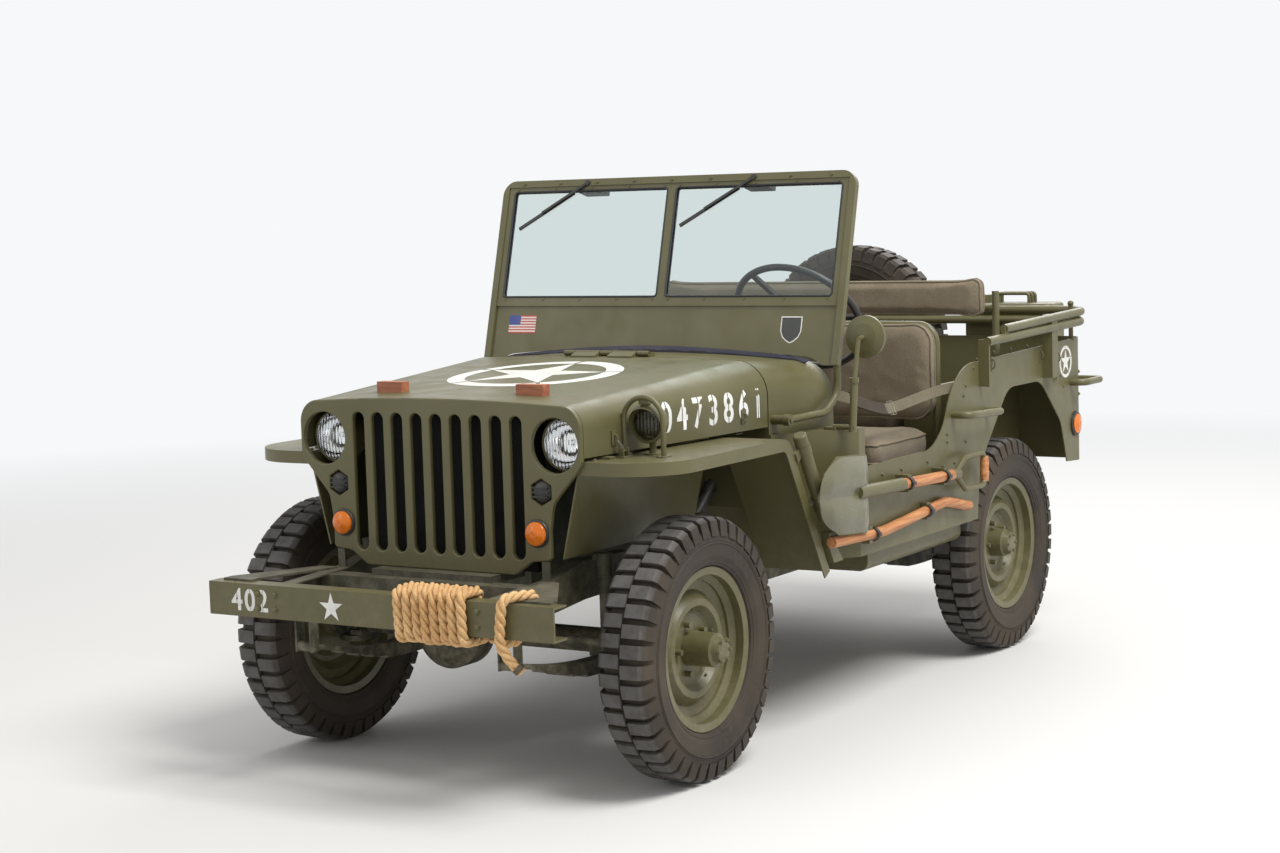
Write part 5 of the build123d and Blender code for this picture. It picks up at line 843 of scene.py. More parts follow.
piece("amber_lenses", amber, amber_lens, "car_body", sharp=60)
piece("marker_louvres", dark_lens, black_paint, "car_body")
red = bmesh.new()
for side in (-1, 1):
    lathe(red, (-1.5375, side * 0.634, 0.690), (-1, 0, 0), REAR_FACE, 40)
piece("rear_lamp_lenses", red, red_lens, "car_body")
print("small lamps built")

# %% [markdown]
# Tyre walls carry moulded rings, one by the rim and two halfway out. Five tyres take the same
# rings, each riding on its own wheel. A ring could be cut into the tyre, but the frame's solids
# stay as they are, so it is a thin turned strip whose feet sink into the wall. A ray finds how
# far out the wall stands.

# %% Tyre rings
# columns: body, middle of the wheel, axle's way
WHEELS = (
    ("front_left_wheel", (1.1, 0.613, 0.358344), (0, 1, 0)),
    ("front_right_wheel", (1.1, -0.613, 0.358344), (0, -1, 0)),
    ("rear_left_wheel", (-0.932, 0.613, 0.358344), (0, 1, 0)),
    ("rear_right_wheel", (-0.932, -0.613, 0.358344), (0, -1, 0)),
    ("car_body", (-1.602, -0.230, 1.0), (-1, 0, 0)),
)
tyre_nodes = [
    "tyre_" + place for place in ("front_left", "front_right", "rear_left", "rear_right", "spare")
]


def wall_offset(tree, matrix, radius, way):
    """How far a tyre's wall stands from the wheel's middle plane at a radius."""
    start = matrix @ Vector((radius * 0.9239, radius * 0.3827, way * 0.2))
    hit = tree.ray_cast(start, matrix.to_3x3() @ Vector((0, 0, -way)))[0]
    return (matrix.inverted() @ hit).z if hit else way * 0.07


for (body, middle, axle), tyre in zip(WHEELS, tyre_nodes):
    rings = bmesh.new()
    matrix = frame_at(middle, axle)
    tree = surface_of(tyre)
    for way in (1, -1):
        # columns: radius, height, half width
        for radius, height, half in ((0.2365, 0.0016, 0.003), (0.287, 0.0026, 0.0036),
                                     (0.2935, 0.0014, 0.0016)):
            level = wall_offset(tree, matrix, radius, way)
            # columns: share of the height, or a sunk foot, and share of the half width
            steps = ((None, -1), (0.7, -0.55), (1, 0), (0.7, 0.55), (None, 1))
            profile = [(level + way * (-0.003 if up is None else height * up), radius + half * out)
                       for up, out in steps]
            lathe(rings, middle, axle, profile, 96)
    piece(f"wall_rings_{tyre[5:]}", rings, tyre_rubber, body, sharp=60)
print("wall rings on", len(tyre_nodes), "tyres")

# %% [markdown]
# Markings are painted through stencils, so letters and stars have small bridges where the
# stencil holds together. Each marking starts flat, is cut into small squares and is then laid
# on the panel below it, so that the paint follows the panel's curve.

# %% Paint for markings
marking_white = painted("marking_white", (0.74, 0.74, 0.71), (0.64, 0.63, 0.58), 0.3, 0.3,
    (0.45, 0.65), bump=0.05)
marking_red = painted("marking_red", (0.42, 0.035, 0.03), (0.5, 0.07, 0.06), 0.2, 0.2, bump=0.05)
marking_blue = painted("marking_blue", (0.03, 0.045, 0.2), (0.05, 0.07, 0.26), 0.2, 0.2, bump=0.05)
marking_dark = painted("marking_dark", (0.03, 0.035, 0.03), (0.05, 0.05, 0.045), 0.2, 0.2,
    bump=0.05)
print("marking paints ready")

# %% Lay flat shapes on the body


def star_outline(radius, turn):
    """Five points of a star, as corners in order."""
    corners = []
    for step in range(10):
        reach = radius if step % 2 == 0 else radius * 0.382
        angle = turn + math.pi * step / 5
        corners.append((reach * math.cos(angle), reach * math.sin(angle)))
    return corners


def ring_piece(inner, outer, start, end, steps=14):
    """Part of a ring between two angles, as corners in order."""
    angles = [start + (end - start) * step / steps for step in range(steps + 1)]
    corners = [(outer * math.cos(a), outer * math.sin(a)) for a in angles]
    return corners + [(inner * math.cos(a), inner * math.sin(a)) for a in reversed(angles)]


def flat_faces(outlines):
    """A flat bmesh with one face for each outline."""
    flat = bmesh.new()
    for outline in outlines:
        flat.faces.new([flat.verts.new((x, y, 0)) for x, y in outline])
    return flat


def bisect(flat, point, way, distance):
    """Cuts a flat shape across a way, at a point."""
    everything = flat.verts[:] + flat.edges[:] + flat.faces[:]
    bmesh.ops.bisect_plane(flat, geom=everything, dist=distance, plane_co=point, plane_no=way)


def lay_on(name, flat, matrix, node, material, body, cell=0.02, lift=0.0005):
    """Cuts a flat shape into squares and drops it along a matrix's -z onto a frame piece."""
    bmesh.ops.triangulate(flat, faces=flat.faces)
    for axis in (0, 1):
        values = [vert.co[axis] for vert in flat.verts]
        way = Vector((1, 0, 0)) if axis == 0 else Vector((0, 1, 0))
        for step in range(1, int((max(values) - min(values)) / cell) + 1):
            bisect(flat, way * (min(values) + step * cell), way, 1e-6)
    down = matrix.to_3x3() @ Vector((0, 0, -1))
    tree = surface_of(node)
    missed = []
    for vert in flat.verts:
        start = matrix @ vert.co
        hit = tree.ray_cast(start, down)[0]
        if hit is None:
            missed.append(vert)
        else:
            vert.co = hit - down * lift
    bmesh.ops.delete(flat, geom=missed, context="VERTS")
    outward = -down
    obj = add_mesh(name, flat, material, False)
    for face in obj.data.polygons:
        if face.normal.dot(outward) < 0:
            face.flip()
    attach(obj, body)
    return obj


def plane_at(origin, x_way, y_way):
    """A matrix whose x and y axes run along two ways."""
    x_axis = Vector(x_way).normalized()
    z_axis = x_axis.cross(Vector(y_way)).normalized()
    y_axis = z_axis.cross(x_axis)
    return Matrix.Translation(origin) @ Matrix((x_axis, y_axis, z_axis)).transposed().to_4x4()


print("marking helpers ready")

# %% [markdown]
# The star on the hood has a broken ring, a small star is on the bumper, and the rear sides
# carry a ringed star each. The hood's sides carry a plain number.

# %% Stars
RING_PARTS = 5
RING_BREAK = math.radians(2.6)


def ringed_star(radius, turn):
    """A star whose points reach a broken ring."""
    shapes = [star_outline(radius * 0.80, turn)]
    for number in range(RING_PARTS):
        start = turn + 2 * math.pi * number / RING_PARTS + RING_BREAK / 2
        end = start + 2 * math.pi / RING_PARTS - RING_BREAK
        shapes.append(ring_piece(radius * 0.80, radius, start, end))
    return shapes


hood_plane = plane_at((0.895, 0, 1.3), (1, 0, 0), (0, 1, 0))
lay_on("hood_star", flat_faces(ringed_star(0.255, math.pi)), hood_plane, "hood", marking_white,
       "hood_body")
bumper_plane = plane_at((1.8, -0.142, 0.513), (0, 1, 0), (0, 0, 1))
bumper_star = flat_faces([star_outline(0.041, math.pi / 2)])
lay_on("bumper_star", bumper_star, bumper_plane, "front_bumper", marking_white, "car_body")
for side, label in ((1, "left"), (-1, "right")):
    rear_plane = plane_at((-1.350, side * 0.9, 0.945), (-side, 0, 0), (0, 0, 1))
    rear_star = flat_faces(ringed_star(0.056, math.pi / 2))
    lay_on(f"rear_star_{label}", rear_star, rear_plane, "body_tub", marking_white, "car_body")
print("stars laid on")

# %% Numbers


def stencil_number(text, height, squeeze, bridge, spacing=1.18):
    """Numerals of the built-in font as flat faces, with stencil bridges down their middles."""
    curve = bpy.data.curves.new("numerals", "FONT")
    curve.body = text
    curve.size = height / 0.72
    curve.space_character = spacing
    curve.resolution_u = 4
    curve.offset = height * 0.03
    holder = bpy.data.objects.new("numerals", curve)
    mesh = bpy.data.meshes.new_from_object(holder)
    flat = bmesh.new()
    flat.from_mesh(mesh)
    bpy.data.meshes.remove(mesh)
    bpy.data.objects.remove(holder)
    bpy.data.curves.remove(curve)
    bmesh.ops.remove_doubles(flat, verts=flat.verts, dist=1e-6)
    islands = []
    left = set(flat.verts)
    while left:
        todo = [left.pop()]
        island = list(todo)
        while todo:
            for edge in todo.pop().link_edges:
                for vert in edge.verts:
                    if vert in left:
                        left.remove(vert)
                        todo.append(vert)
                        island.append(vert)
        islands.append(island)
    spans = sorted((min(v.co.x for v in island), max(v.co.x for v in island)) for island in islands)
    for low, high in spans:
        middle = (low + high) / 2
        for edge_x in (middle - bridge, middle + bridge):
            bisect(flat, (edge_x, 0, 0), (1, 0, 0), 1e-7)
        inside = [face for face in flat.faces if abs(face.calc_center_median().x - middle) < bridge]
        bmesh.ops.delete(flat, geom=inside, context="FACES")
    values = [vert.co.x for vert in flat.verts]
    centre = (min(values) + max(values)) / 2
    for vert in flat.verts:
        vert.co.x = (vert.co.x - centre) * squeeze
        vert.co.z = 0
    return flat


for side, label in ((1, "left"), (-1, "right")):
    number = stencil_number("20473861", 0.084, 0.86, 0.0022, 1.46)
    hood_plane = plane_at((0.830, side * 0.9, 0.930), (-side, 0.0, 0.0), (0, 0, 1))
    lay_on(f"hood_number_{label}", number, hood_plane, "hood", marking_white, "hood_body",
           cell=0.03)
number = stencil_number("402", 0.060, 0.92, 0.0008)
bumper_plane = plane_at((1.8, -0.425, 0.487), (0, 1, 0), (0, 0, 1))
lay_on("bumper_number", number, bumper_plane, "front_bumper", marking_white, "car_body")
print("numbers laid on")

# %% [markdown]
# Two small stickers stand on the screen's lower panel: a striped one and a plain dark shield.
# Each could be an image; flat shapes in plain colours stay sharp however near the camera is.

# %% Stickers on the screen's panel
SCREEN_RIGHT = (0, 1, 0)
SCREEN_UP = (-0.2638, 0, 0.9645)
SCREEN_NORMAL = Vector((0.9645, 0, 0.2638))


def screen_spot(y, up, lift=0.2):
    """A point before the windshield from its own sideways and upward distances."""
    place = Vector((0.245, 0, 1.054)) + Vector(SCREEN_RIGHT) * y
    return place + Vector(SCREEN_UP) * up + SCREEN_NORMAL * lift


def rectangle(low_x, low_y, high_x, high_y):
    """Four corners in order."""
    return [(low_x, low_y), (high_x, low_y), (high_x, high_y), (low_x, high_y)]


def sticker(name, outlines, plane, material, lift=0.0005):
    """Lays flat shapes on the panel under the panes."""
    lay_on(name, flat_faces(outlines), plane, "windshield_frame", material, "windshield_body",
           lift=lift)


flag_plane = plane_at(screen_spot(-0.513, 0.121), SCREEN_RIGHT, SCREEN_UP)
FLAG_X, FLAG_Y = 0.052, 0.029
stripe = 2 * FLAG_Y / 13
stripes = [
    rectangle(-FLAG_X, -FLAG_Y + stripe * n, FLAG_X, -FLAG_Y + stripe * (n + 1)) for n in range(13)
]
sticker("sticker_red", stripes[::2], flag_plane, marking_red)
sticker("sticker_white", stripes[1::2], flag_plane, marking_white)
corner = rectangle(-FLAG_X, -FLAG_Y + stripe * 6, -0.008, FLAG_Y)
sticker("sticker_blue", [corner], flag_plane, marking_blue, 0.0008)
SHIELD = [(-0.036, 0.040), (0.036, 0.040), (0.036, -0.005), (0.028, -0.024), (0.014, -0.036),
          (0.0, -0.043), (-0.014, -0.036), (-0.028, -0.024), (-0.036, -0.005)]
shield_plane = plane_at(screen_spot(0.470, 0.108), SCREEN_RIGHT, SCREEN_UP)
sticker("shield_border", [SHIELD], shield_plane, marking_white)
field = [(x * 0.9, y * 0.91) for x, y in SHIELD]
sticker("shield_field", [field], shield_plane, marking_dark, 0.0008)
print("stickers laid on")

# %% [markdown]
# The seats are stuffed canvas pads. Each starts as a slightly small block with round corners,
# is swollen by cloth under pressure so that it crowns between its edges, and then gets the
# creases of use. Piping is sewn on afterwards, along the edges of the finished pad.

# %% Swell the seat pads
PAD_VOXEL = 0.009


def pad_block(name, low, high, corner, thin):
    """A closed block with round corners in the plane across its thin axis."""
    low, high = Vector(low) + Vector((0.004,) * 3), Vector(high) - Vector((0.004,) * 3)
    wide = [axis for axis in range(3) if axis != thin]
    outline = rounded([low[axis] for axis in wide], [high[axis] for axis in wide], corner, 6)
    centre = [(low[axis] + high[axis]) / 2 for axis in wide]
    shape = bmesh.new()
    rings = []
    for level, inset in ((0.0, 0.012), (0.12, 0.003), (0.5, 0.0), (0.88, 0.003), (1.0, 0.012)):
        ring = []
        for x, y in outline:
            spot = [0.0, 0.0, 0.0]
            spot[thin] = low[thin] + (high[thin] - low[thin]) * level
            for axis, value, middle in zip(wide, (x, y), centre):
                half = (high[axis] - low[axis]) / 2
                spot[axis] = middle + (value - middle) * (half - inset) / half
            ring.append(shape.verts.new(spot))
        rings.append(ring)
    skin(shape, rings)
    bmesh.ops.recalc_face_normals(shape, faces=shape.faces)
    obj = add_mesh(name, shape, seat_canvas)
    remesh = obj.modifiers.new("voxels", "REMESH")
    remesh.mode = "VOXEL"
    remesh.voxel_size = PAD_VOXEL
    apply_modifiers(obj)
    return obj


def swell(obj, cap):
    """Blows a pad up with cloth, then keeps each point within a cap of where it began."""
    start = [vert.co.copy() for vert in obj.data.vertices]
    cloth = obj.modifiers.new("stuffing", "CLOTH")
    cloth.settings.use_pressure = True
    cloth.settings.uniform_pressure_force = 4
    cloth.settings.effector_weights.gravity = 0
    for number in range(1, 21):
        scene.frame_set(number)
    apply_modifiers(obj)
    scene.frame_set(1)
    for vert, old in zip(obj.data.vertices, start):
        move = vert.co - old
        if move.length > cap:
            vert.co = old + move * (cap / move.length)


def crease(obj, low, high, thin, depth, scale):
    """Presses long soft creases into a pad, deepest in the middle of its wide faces."""
    wide = [axis for axis in range(3) if axis != thin]
    for vert in obj.data.vertices:
        shares = [(vert.co[axis] - low[axis]) / (high[axis] - low[axis]) for axis in wide]
        room = min(1.0, 4 * min(max(0.0, min(share, 1 - share)) for share in shares) + 0.15)
        spot = Vector((vert.co[wide[0]] * scale[0], vert.co[wide[1]] * scale[1], 3.7 * low[1]))
        fold = noise.noise(spot) + 0.5 * noise.noise(spot * 2.3 + Vector((5, 3, 1)))
        ridge = 1 - 2 * abs(fold)
        outward = math.copysign(1, vert.co[thin] - (low[thin] + high[thin]) / 2)
        vert.co[thin] += outward * depth * room * (ridge - 0.6)


def piping_loop(shape, obj, low, high, corner, thin, level, radius):
    """A piped seam that follows a pad's edge at a level of its thickness."""
    tree = tree_of(obj.data)
    wide = [axis for axis in range(3) if axis != thin]
    depth = low[thin] + (high[thin] - low[thin]) * level + math.copysign(0.012, level - 0.5)
    outline = rounded([low[axis] for axis in wide], [high[axis] for axis in wide], corner, 8, 0.02)
    path = []
    for edge in outline:
        spot = Vector()
        spot[thin], spot[wide[0]], spot[wide[1]] = depth, *edge
        path.append(spot)
    dense = []
    for i, point in enumerate(path):
        following = path[(i + 1) % len(path)]
        steps = max(1, int((following - point).length / 0.02))
        dense += [point.lerp(following, step / steps) for step in range(steps)]
    on_pad = []
    for point in dense:
        spot, normal, _, _ = tree.find_nearest(point)
        on_pad.append(spot + normal * radius * 0.45)
    sweep(shape, on_pad, radius, 8, closed=True)


# columns: name, low corner, high corner, corner radius, thin axis, cap, crease depth, crease scale
PADS = []
for side, label in ((1, "left"), (-1, "right")):
    y_low, y_high = sorted((side * 0.219, side * 0.655))
    PADS += [
        (f"front_cushion_{label}", (-0.403, y_low, 0.718), (0.018, y_high, 0.800),
         0.045, 2, 0.014, 0.0042, (9, 5)),
        (f"front_back_pad_{label}", (-0.440, y_low, 0.817), (-0.394, y_high, 1.148),
         0.068, 0, 0.011, 0.0024, (5, 6)),
    ]
PADS += [
    ("rear_cushion", (-0.868, -0.448, 0.764), (-0.562, 0.448, 0.860),
     0.045, 2, 0.014, 0.0040, (8, 4)),
    ("rear_back_pad", (-0.8767, -0.633, 1.127), (-0.8307, 0.633, 1.268),
     0.032, 0, 0.010, 0.0022, (4, 7)),
]
piping = bmesh.new()
for name, low, high, corner, thin, cap, depth, scale in PADS:
    pad = pad_block(name, low, high, corner, thin)
    swell(pad, cap)
    crease(pad, low, high, thin, depth, scale)
    smoother = pad.modifiers.new("smoother", "SUBSURF")
    smoother.levels = 1
    apply_modifiers(pad)
    pad.data.materials.clear()
    pad.data.materials.append(seat_canvas)
    pad.data.shade_smooth()
    for level in (0.04, 0.96):
        piping_loop(piping, pad, low, high, corner, thin, level, 0.0036)
    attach(pad, "car_body")
    if name == "front_cushion_left":
        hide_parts("front_seat_cushions")
    if name == "rear_cushion":
        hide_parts("rear_seat_cushions")
    print(name, len(pad.data.polygons), "faces")
piece("seat_piping", piping, seat_canvas, "car_body")

# %% [markdown]
# A webbing strap hangs across the driver's door opening in place of a door. It is cut straight
# and flat, so it sags in a shallow curve and turns on edge between its two ends.

# %% Strap across the door opening
STRAP_WIDTH = 0.034
STRAP_HALF_THICKNESS = 0.0012
strap_start = Vector((0.229, 0.612, 0))
strap_end = Vector((-0.430, 0.7107, 0))
strap_way = (strap_end - strap_start).normalized()
strap_side = Vector((0, 0, 1)).cross(strap_way)
# columns: distance along, height of the middle, lean of the width in degrees
STRAP_LINE = [(0.002, 0.966, 6), (0.06, 0.953, 8), (0.12, 0.936, 16), (0.20, 0.912, 24),
    (0.27, 0.899, 26), (0.34, 0.902, 20), (0.44, 0.915, 28), (0.54, 0.927, 14), (0.60, 0.932, 6),
    (0.664, 0.933, 0)]


def along_table(table, steps):
    """Points between a table's rows on one smooth curve."""
    rows = [Vector(row) for row in table]
    found = []
    for i in range(len(rows) - 1):
        before, after = rows[max(i - 1, 0)], rows[min(i + 2, len(rows) - 1)]
        for step in range(steps):
            t = step / steps
            a, b = rows[i], rows[i + 1]
            straight = 2 * a + (b - before) * t
            bent = (2 * before - 5 * a + 4 * b - after) * t * t
            found.append(0.5 * (straight + bent + (3 * a - 3 * b + after - before) * t ** 3))
    return found + [rows[-1]]


def band(shape, places, section, half_thickness):
    """Adds a band of the strap's width along (centre, up, out) places."""
    rings = []
    for centre, up, out in places:
        rings.append([
            shape.verts.new(centre + up * STRAP_WIDTH * across + out * half_thickness * thick)
            for across, thick in section
        ])
    skin(shape, rings)


strap_points = []
for distance, height, lean in along_table(STRAP_LINE, 8):
    centre = strap_start + strap_way * distance + Vector((0, 0, height))
    tilt = math.radians(lean)
    up = Vector((0, 0, math.cos(tilt))) + strap_side * math.sin(tilt)
    out = strap_side * math.cos(tilt) - Vector((0, 0, math.sin(tilt)))
    strap_points.append((centre, up, out))
# columns: place across the width, share of the half thickness
WEBBING_SECTION = (
    (-0.5, 0), (-0.46, 1), (-0.2, 0.75), (0.2, 0.75), (0.46, 1), (0.5, 0),
    (0.46, -1), (0.2, -0.75), (-0.2, -0.75), (-0.46, -1),
)
PAD_SECTION = ((-0.62, 0), (-0.56, 1), (0.56, 1), (0.62, 0), (0.56, -1), (-0.56, -1))
strap_shape = bmesh.new()
band(strap_shape, strap_points, WEBBING_SECTION, STRAP_HALF_THICKNESS)
strap = piece("door_strap", strap_shape, strap_webbing, "car_body")
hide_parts("safety_strap")
strap_length = sum((b[0] - a[0]).length for a, b in zip(strap_points, strap_points[1:]))
print("strap length", round(strap_length, 3))
pad_shape = bmesh.new()
band(pad_shape, strap_points[12:33], PAD_SECTION, 0.0042)
strap_pad = piece("door_strap_pad", pad_shape, dark_leather, "car_body")
buckle = bmesh.new()
centre, up, out = strap_points[36]
buckle_corners = ((0.022, -0.014), (0.022, 0.014), (-0.022, 0.014), (-0.022, -0.014))
corners = [centre + up * a + strap_way * b for a, b in buckle_corners]
sweep(buckle, corners, 0.002, 8, closed=True)
sweep(buckle, [centre + up * 0.022, centre - up * 0.022], 0.0018, 8)
piece("door_strap_buckle", buckle, worn_steel, "car_body")

# %% [markdown]
# A car like this is held together by hundreds of bolts, screws and rivets. They come from one
# Geometry Nodes tree: it puts a domed or six-sided head on every point of a small point mesh,
# and turns each to face the way that the point was given.

# %% Heads on points
def head_tree(name, sides):
    """A tree that puts a fastener's head on each point, facing the point's own way."""
    tree = bpy.data.node_groups.new(name, "GeometryNodeTree")
    tree.interface.new_socket("Geometry", in_out="INPUT", socket_type="NodeSocketGeometry")
    for socket_name, kind in (("Head Height", "Float"), ("Finish", "Material")):
        tree.interface.new_socket(socket_name, in_out="INPUT", socket_type="NodeSocket" + kind)
    tree.interface.new_socket("Geometry", in_out="OUTPUT", socket_type="NodeSocketGeometry")
    given, result = tree.nodes.new("NodeGroupInput"), tree.nodes.new("NodeGroupOutput")
    join = put(tree, "GeometryNodeJoinGeometry")
    # columns: top radius, bottom radius, depth, lift, sides; the last row is the washer
    for top, bottom, depth, lift, count in ((0.82, 1.0, 0.75, 0.25, sides),
                                            (0.35, 0.82, 0.2, 1.0, sides),
                                            (1.28, 1.36, 0.16, 0.0, 16)):
        cone = put(tree, "GeometryNodeMeshCone", {
            "Vertices": count, "Radius Top": top, "Radius Bottom": bottom, "Depth": depth})
        lifted = put(tree, "GeometryNodeTransform", {
            "Translation": (0, 0, lift), "Geometry": cone.outputs["Mesh"]})
        tree.links.new(lifted.outputs["Geometry"], join.inputs[0])
    squash = put(tree, "ShaderNodeCombineXYZ", {0: 1.0, 1: 1.0, 2: given.outputs["Head Height"]})
    shaped = put(tree, "GeometryNodeTransform", {
        "Geometry": join.outputs[0], "Scale": squash.outputs[0]})
    own = "GeometryNodeInputNamedAttribute"
    facing = put(tree, own, {"Name": "facing"}, data_type="FLOAT_VECTOR").outputs["Attribute"]
    size = put(tree, own, {"Name": "size"}, data_type="FLOAT").outputs["Attribute"]
    align = put(tree, "FunctionNodeAlignRotationToVector", {"Vector": facing}, axis="Z")
    place = put(tree, "GeometryNodeInstanceOnPoints", {
        "Points": given.outputs["Geometry"], "Instance": shaped.outputs["Geometry"],
        "Rotation": align.outputs["Rotation"], "Scale": size})
    real = put(tree, "GeometryNodeRealizeInstances", {"Geometry": place.outputs["Instances"]})
    finish = put(tree, "GeometryNodeSetMaterial", {
        "Geometry": real.outputs["Geometry"], "Material": given.outputs["Finish"]})
    tree.links.new(finish.outputs["Geometry"], result.inputs["Geometry"])
    return tree


hex_heads = head_tree("hex_heads", 6)
dome_heads = head_tree("dome_heads", 12)


def heads_on(name, rows, tree, height, finish, body):
    """Fastener heads at (place, facing, radius) rows, as one finished piece."""
    points = bpy.data.meshes.new(name + "_points")
    points.from_pydata([row[0] for row in rows], [], [])
    facing = points.attributes.new("facing", "FLOAT_VECTOR", "POINT")
    facing.data.foreach_set("vector",
        [value for row in rows for value in Vector(row[1]).normalized()])
    size = points.attributes.new("size", "FLOAT", "POINT")
    size.data.foreach_set("value", [row[2] for row in rows])
    obj = bpy.data.objects.new(name, points)
    scene.collection.objects.link(obj)
    maker = obj.modifiers.new("heads", "NODES")
    maker.node_group = tree
    values = {"Head Height": height, "Finish": finish}
    for item in tree.interface.items_tree:
        if item.in_out == "INPUT" and item.name in values:
            maker[item.identifier] = values[item.name]
    apply_modifiers(obj)
    obj.data.shade_smooth()
    obj.data.set_sharp_from_angle(angle=math.radians(30))
    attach(obj, body)
    return obj


def on_surface(node, place, way, spread=0.3):
    """The point of a frame piece that is met from outside, looking back along a way."""
    way = Vector(way).normalized()
    hit = surface_of(node).ray_cast(Vector(place) + way * spread, -way)[0]
    return hit if hit is not None else Vector(place)


def head_row(node, place, way, size):
    """A row for a head that sits on a frame piece."""
    return (on_surface(node, place, way), way, size)


# Heads on both sides of the tub; columns: x, z
SIDE_BOLTS = [
    (-0.499, 0.933), (-0.480, 0.902), (-0.349, 0.790), (-0.350, 0.766), (-0.200, 0.719),
    (-0.013, 0.717), (-0.311, 0.693), (-0.401, 0.693), (-0.491, 0.753), (0.120, 0.717),
    (-0.560, 0.985), (-0.620, 1.005), (-0.760, 1.020), (-0.900, 1.020), (-1.040, 1.020),
    (-1.180, 1.020), (-1.420, 1.020), (-1.480, 0.900), (-1.480, 0.820), (-1.330, 0.860),
    (-1.300, 0.900),
]
side_rows = [
    head_row("body_tub", (x, side * 0.70, z), (0, side, 0), 0.0052)
    for side in (-1, 1) for x, z in SIDE_BOLTS
]
heads_on("tub_side_heads", side_rows, dome_heads, 0.8, olive, "car_body")
rear_rows = [
    head_row("body_tub", (-1.45, y, z), (-1, 0, 0), 0.0055)
    for z in (0.66, 0.76, 0.86, 0.96) for y in (-0.64, -0.12, 0.12, 0.64)
]
heads_on("tub_rear_heads", rear_rows, hex_heads, 0.9, olive, "car_body")

# Wheel nuts and hub bolts; columns: how many, start in steps, radius of their circle, size
WHEEL_HEADS = ((5, 0.25, 0.105, 0.0045), (6, 0, 0.030, 0.0058))
for (body, middle, axle), tyre in zip(WHEELS, tyre_nodes):
    matrix = frame_at(middle, axle)
    rows = []
    for count, start, radius, size in WHEEL_HEADS:
        for number in range(count):
            angle = 2 * math.pi * (number + start) / count
            spot = matrix @ Vector((radius * math.cos(angle), radius * math.sin(angle), 0))
            rows.append(head_row(tyre.replace("tyre", "wheel"), spot, axle, size))
    heads_on(f"wheel_heads_{tyre[5:]}", rows, hex_heads, 0.9, olive, body)

# Windshield: snaps on the top rail, screws round the panes and studs on the panel
screen_places = [(-0.56 + 0.14 * number, 0.584, 0.0048) for number in range(9)]
for y in (-0.585, -0.44, -0.30, -0.16, -0.028, 0.028, 0.16, 0.30, 0.44, 0.585):
    screen_places += [(y, 0.202, 0.0032), (y, 0.566, 0.0032)]
screen_places += [(y, 0.032, 0.0048) for y in (-0.42, -0.38, 0.38, 0.42)]
screen_rows = [
    head_row("windshield_frame", screen_spot(y, up, 0), SCREEN_NORMAL, size)
    for y, up, size in screen_places
]
heads_on("screen_heads", screen_rows, dome_heads, 0.8, olive, "windshield_body")

# Bumper, fenders and the feet of the lamp's guard
front_rows = [
    head_row("front_bumper", (1.66, y, z), (1, 0, 0), 0.0085)
    for y in (-0.395, -0.335, 0.335, 0.395) for z in (0.495, 0.535)
]
front_rows += [
    head_row("front_fenders", (x, side * 0.478, 0.90), (0, 0, 1), 0.006)
    for side in (-1, 1) for x in (1.33, 1.18, 1.0, 0.82)
]
front_rows += [
    ((x, y, 0.8894), (0, 0, 1), 0.005) for x in (1.186, 1.214) for y in (0.497, 0.603)
]
heads_on("front_heads", front_rows, hex_heads, 0.8, olive, "car_body")
print("heads placed:", len(side_rows) + len(rear_rows) + len(screen_rows) + len(front_rows))

# %% [markdown]
# Rubber strips keep water and rattles out: one under the windshield that lies on the cowl's
# dome and one round each pane. The long one could be a swept arc, but the dome isn't a true
# one, so rays find it at each step, and a small wave keeps the rubber from looking stiff.

# %% Rubber strips
def section_point(node, x, y, z):
    """Where a ray from outside, aimed at the middle of the car's section, meets a frame piece."""
    outside = Vector((x, y, z))
    aim = Vector((x, 0, 0.80)) - outside
    return surface_of(node).ray_cast(outside, aim.normalized())[0]


strip = bmesh.new()
rows = []
for number in range(61):
    angle = math.radians(26 + 128 * number / 60)
    columns = []
    for x in (0.276, 0.2585):
        reach = Vector((x, 1.3 * math.cos(angle), 0.80 + 1.3 * math.sin(angle)))
        columns.append(section_point("cowl", *reach))
    if None not in columns:
        rows.append(columns)
strip_rings = []
for number, (front, rear) in enumerate(rows):
    away = Vector((0, front.y, front.z - 0.80)).normalized()
    wave = 0.0012 * math.sin(number * 0.9) + 0.0008 * math.sin(number * 2.3)
    back = Vector((-1, 0, 0))
    spots = (
        front + away * 0.0006, front + away * (0.0075 + wave), rear + away * (0.0145 + wave),
        rear + away * 0.0190 + back * 0.006, rear + away * 0.0140 + back * 0.008,
        rear + away * 0.0006,
    )
    strip_rings.append([strip.verts.new(spot) for spot in spots])
skin(strip, strip_rings)
piece("screen_base_strip", strip, navy_rubber, "car_body")
pane_strips = bmesh.new()
for side in (-1, 1):
    middle, half = Vector((side * 0.307, 0.384)), Vector((0.291, 0.174))
    outline = rounded(middle - half, middle + half, 0.010, 4)
    for lift in (0.0062, -0.0062):
        sweep(pane_strips, [screen_spot(y, up, lift) for y, up in outline], 0.0034, 8, closed=True)
piece("pane_strips", pane_strips, seal_rubber, "windshield_body")
print("strips built")

# %% [markdown]
# The tools' steel shows on the left side: the shovel's blade is pressed in two hollows with a
# ridge between, which stiffens thin steel. Straps and clamps hold the handles to the body.

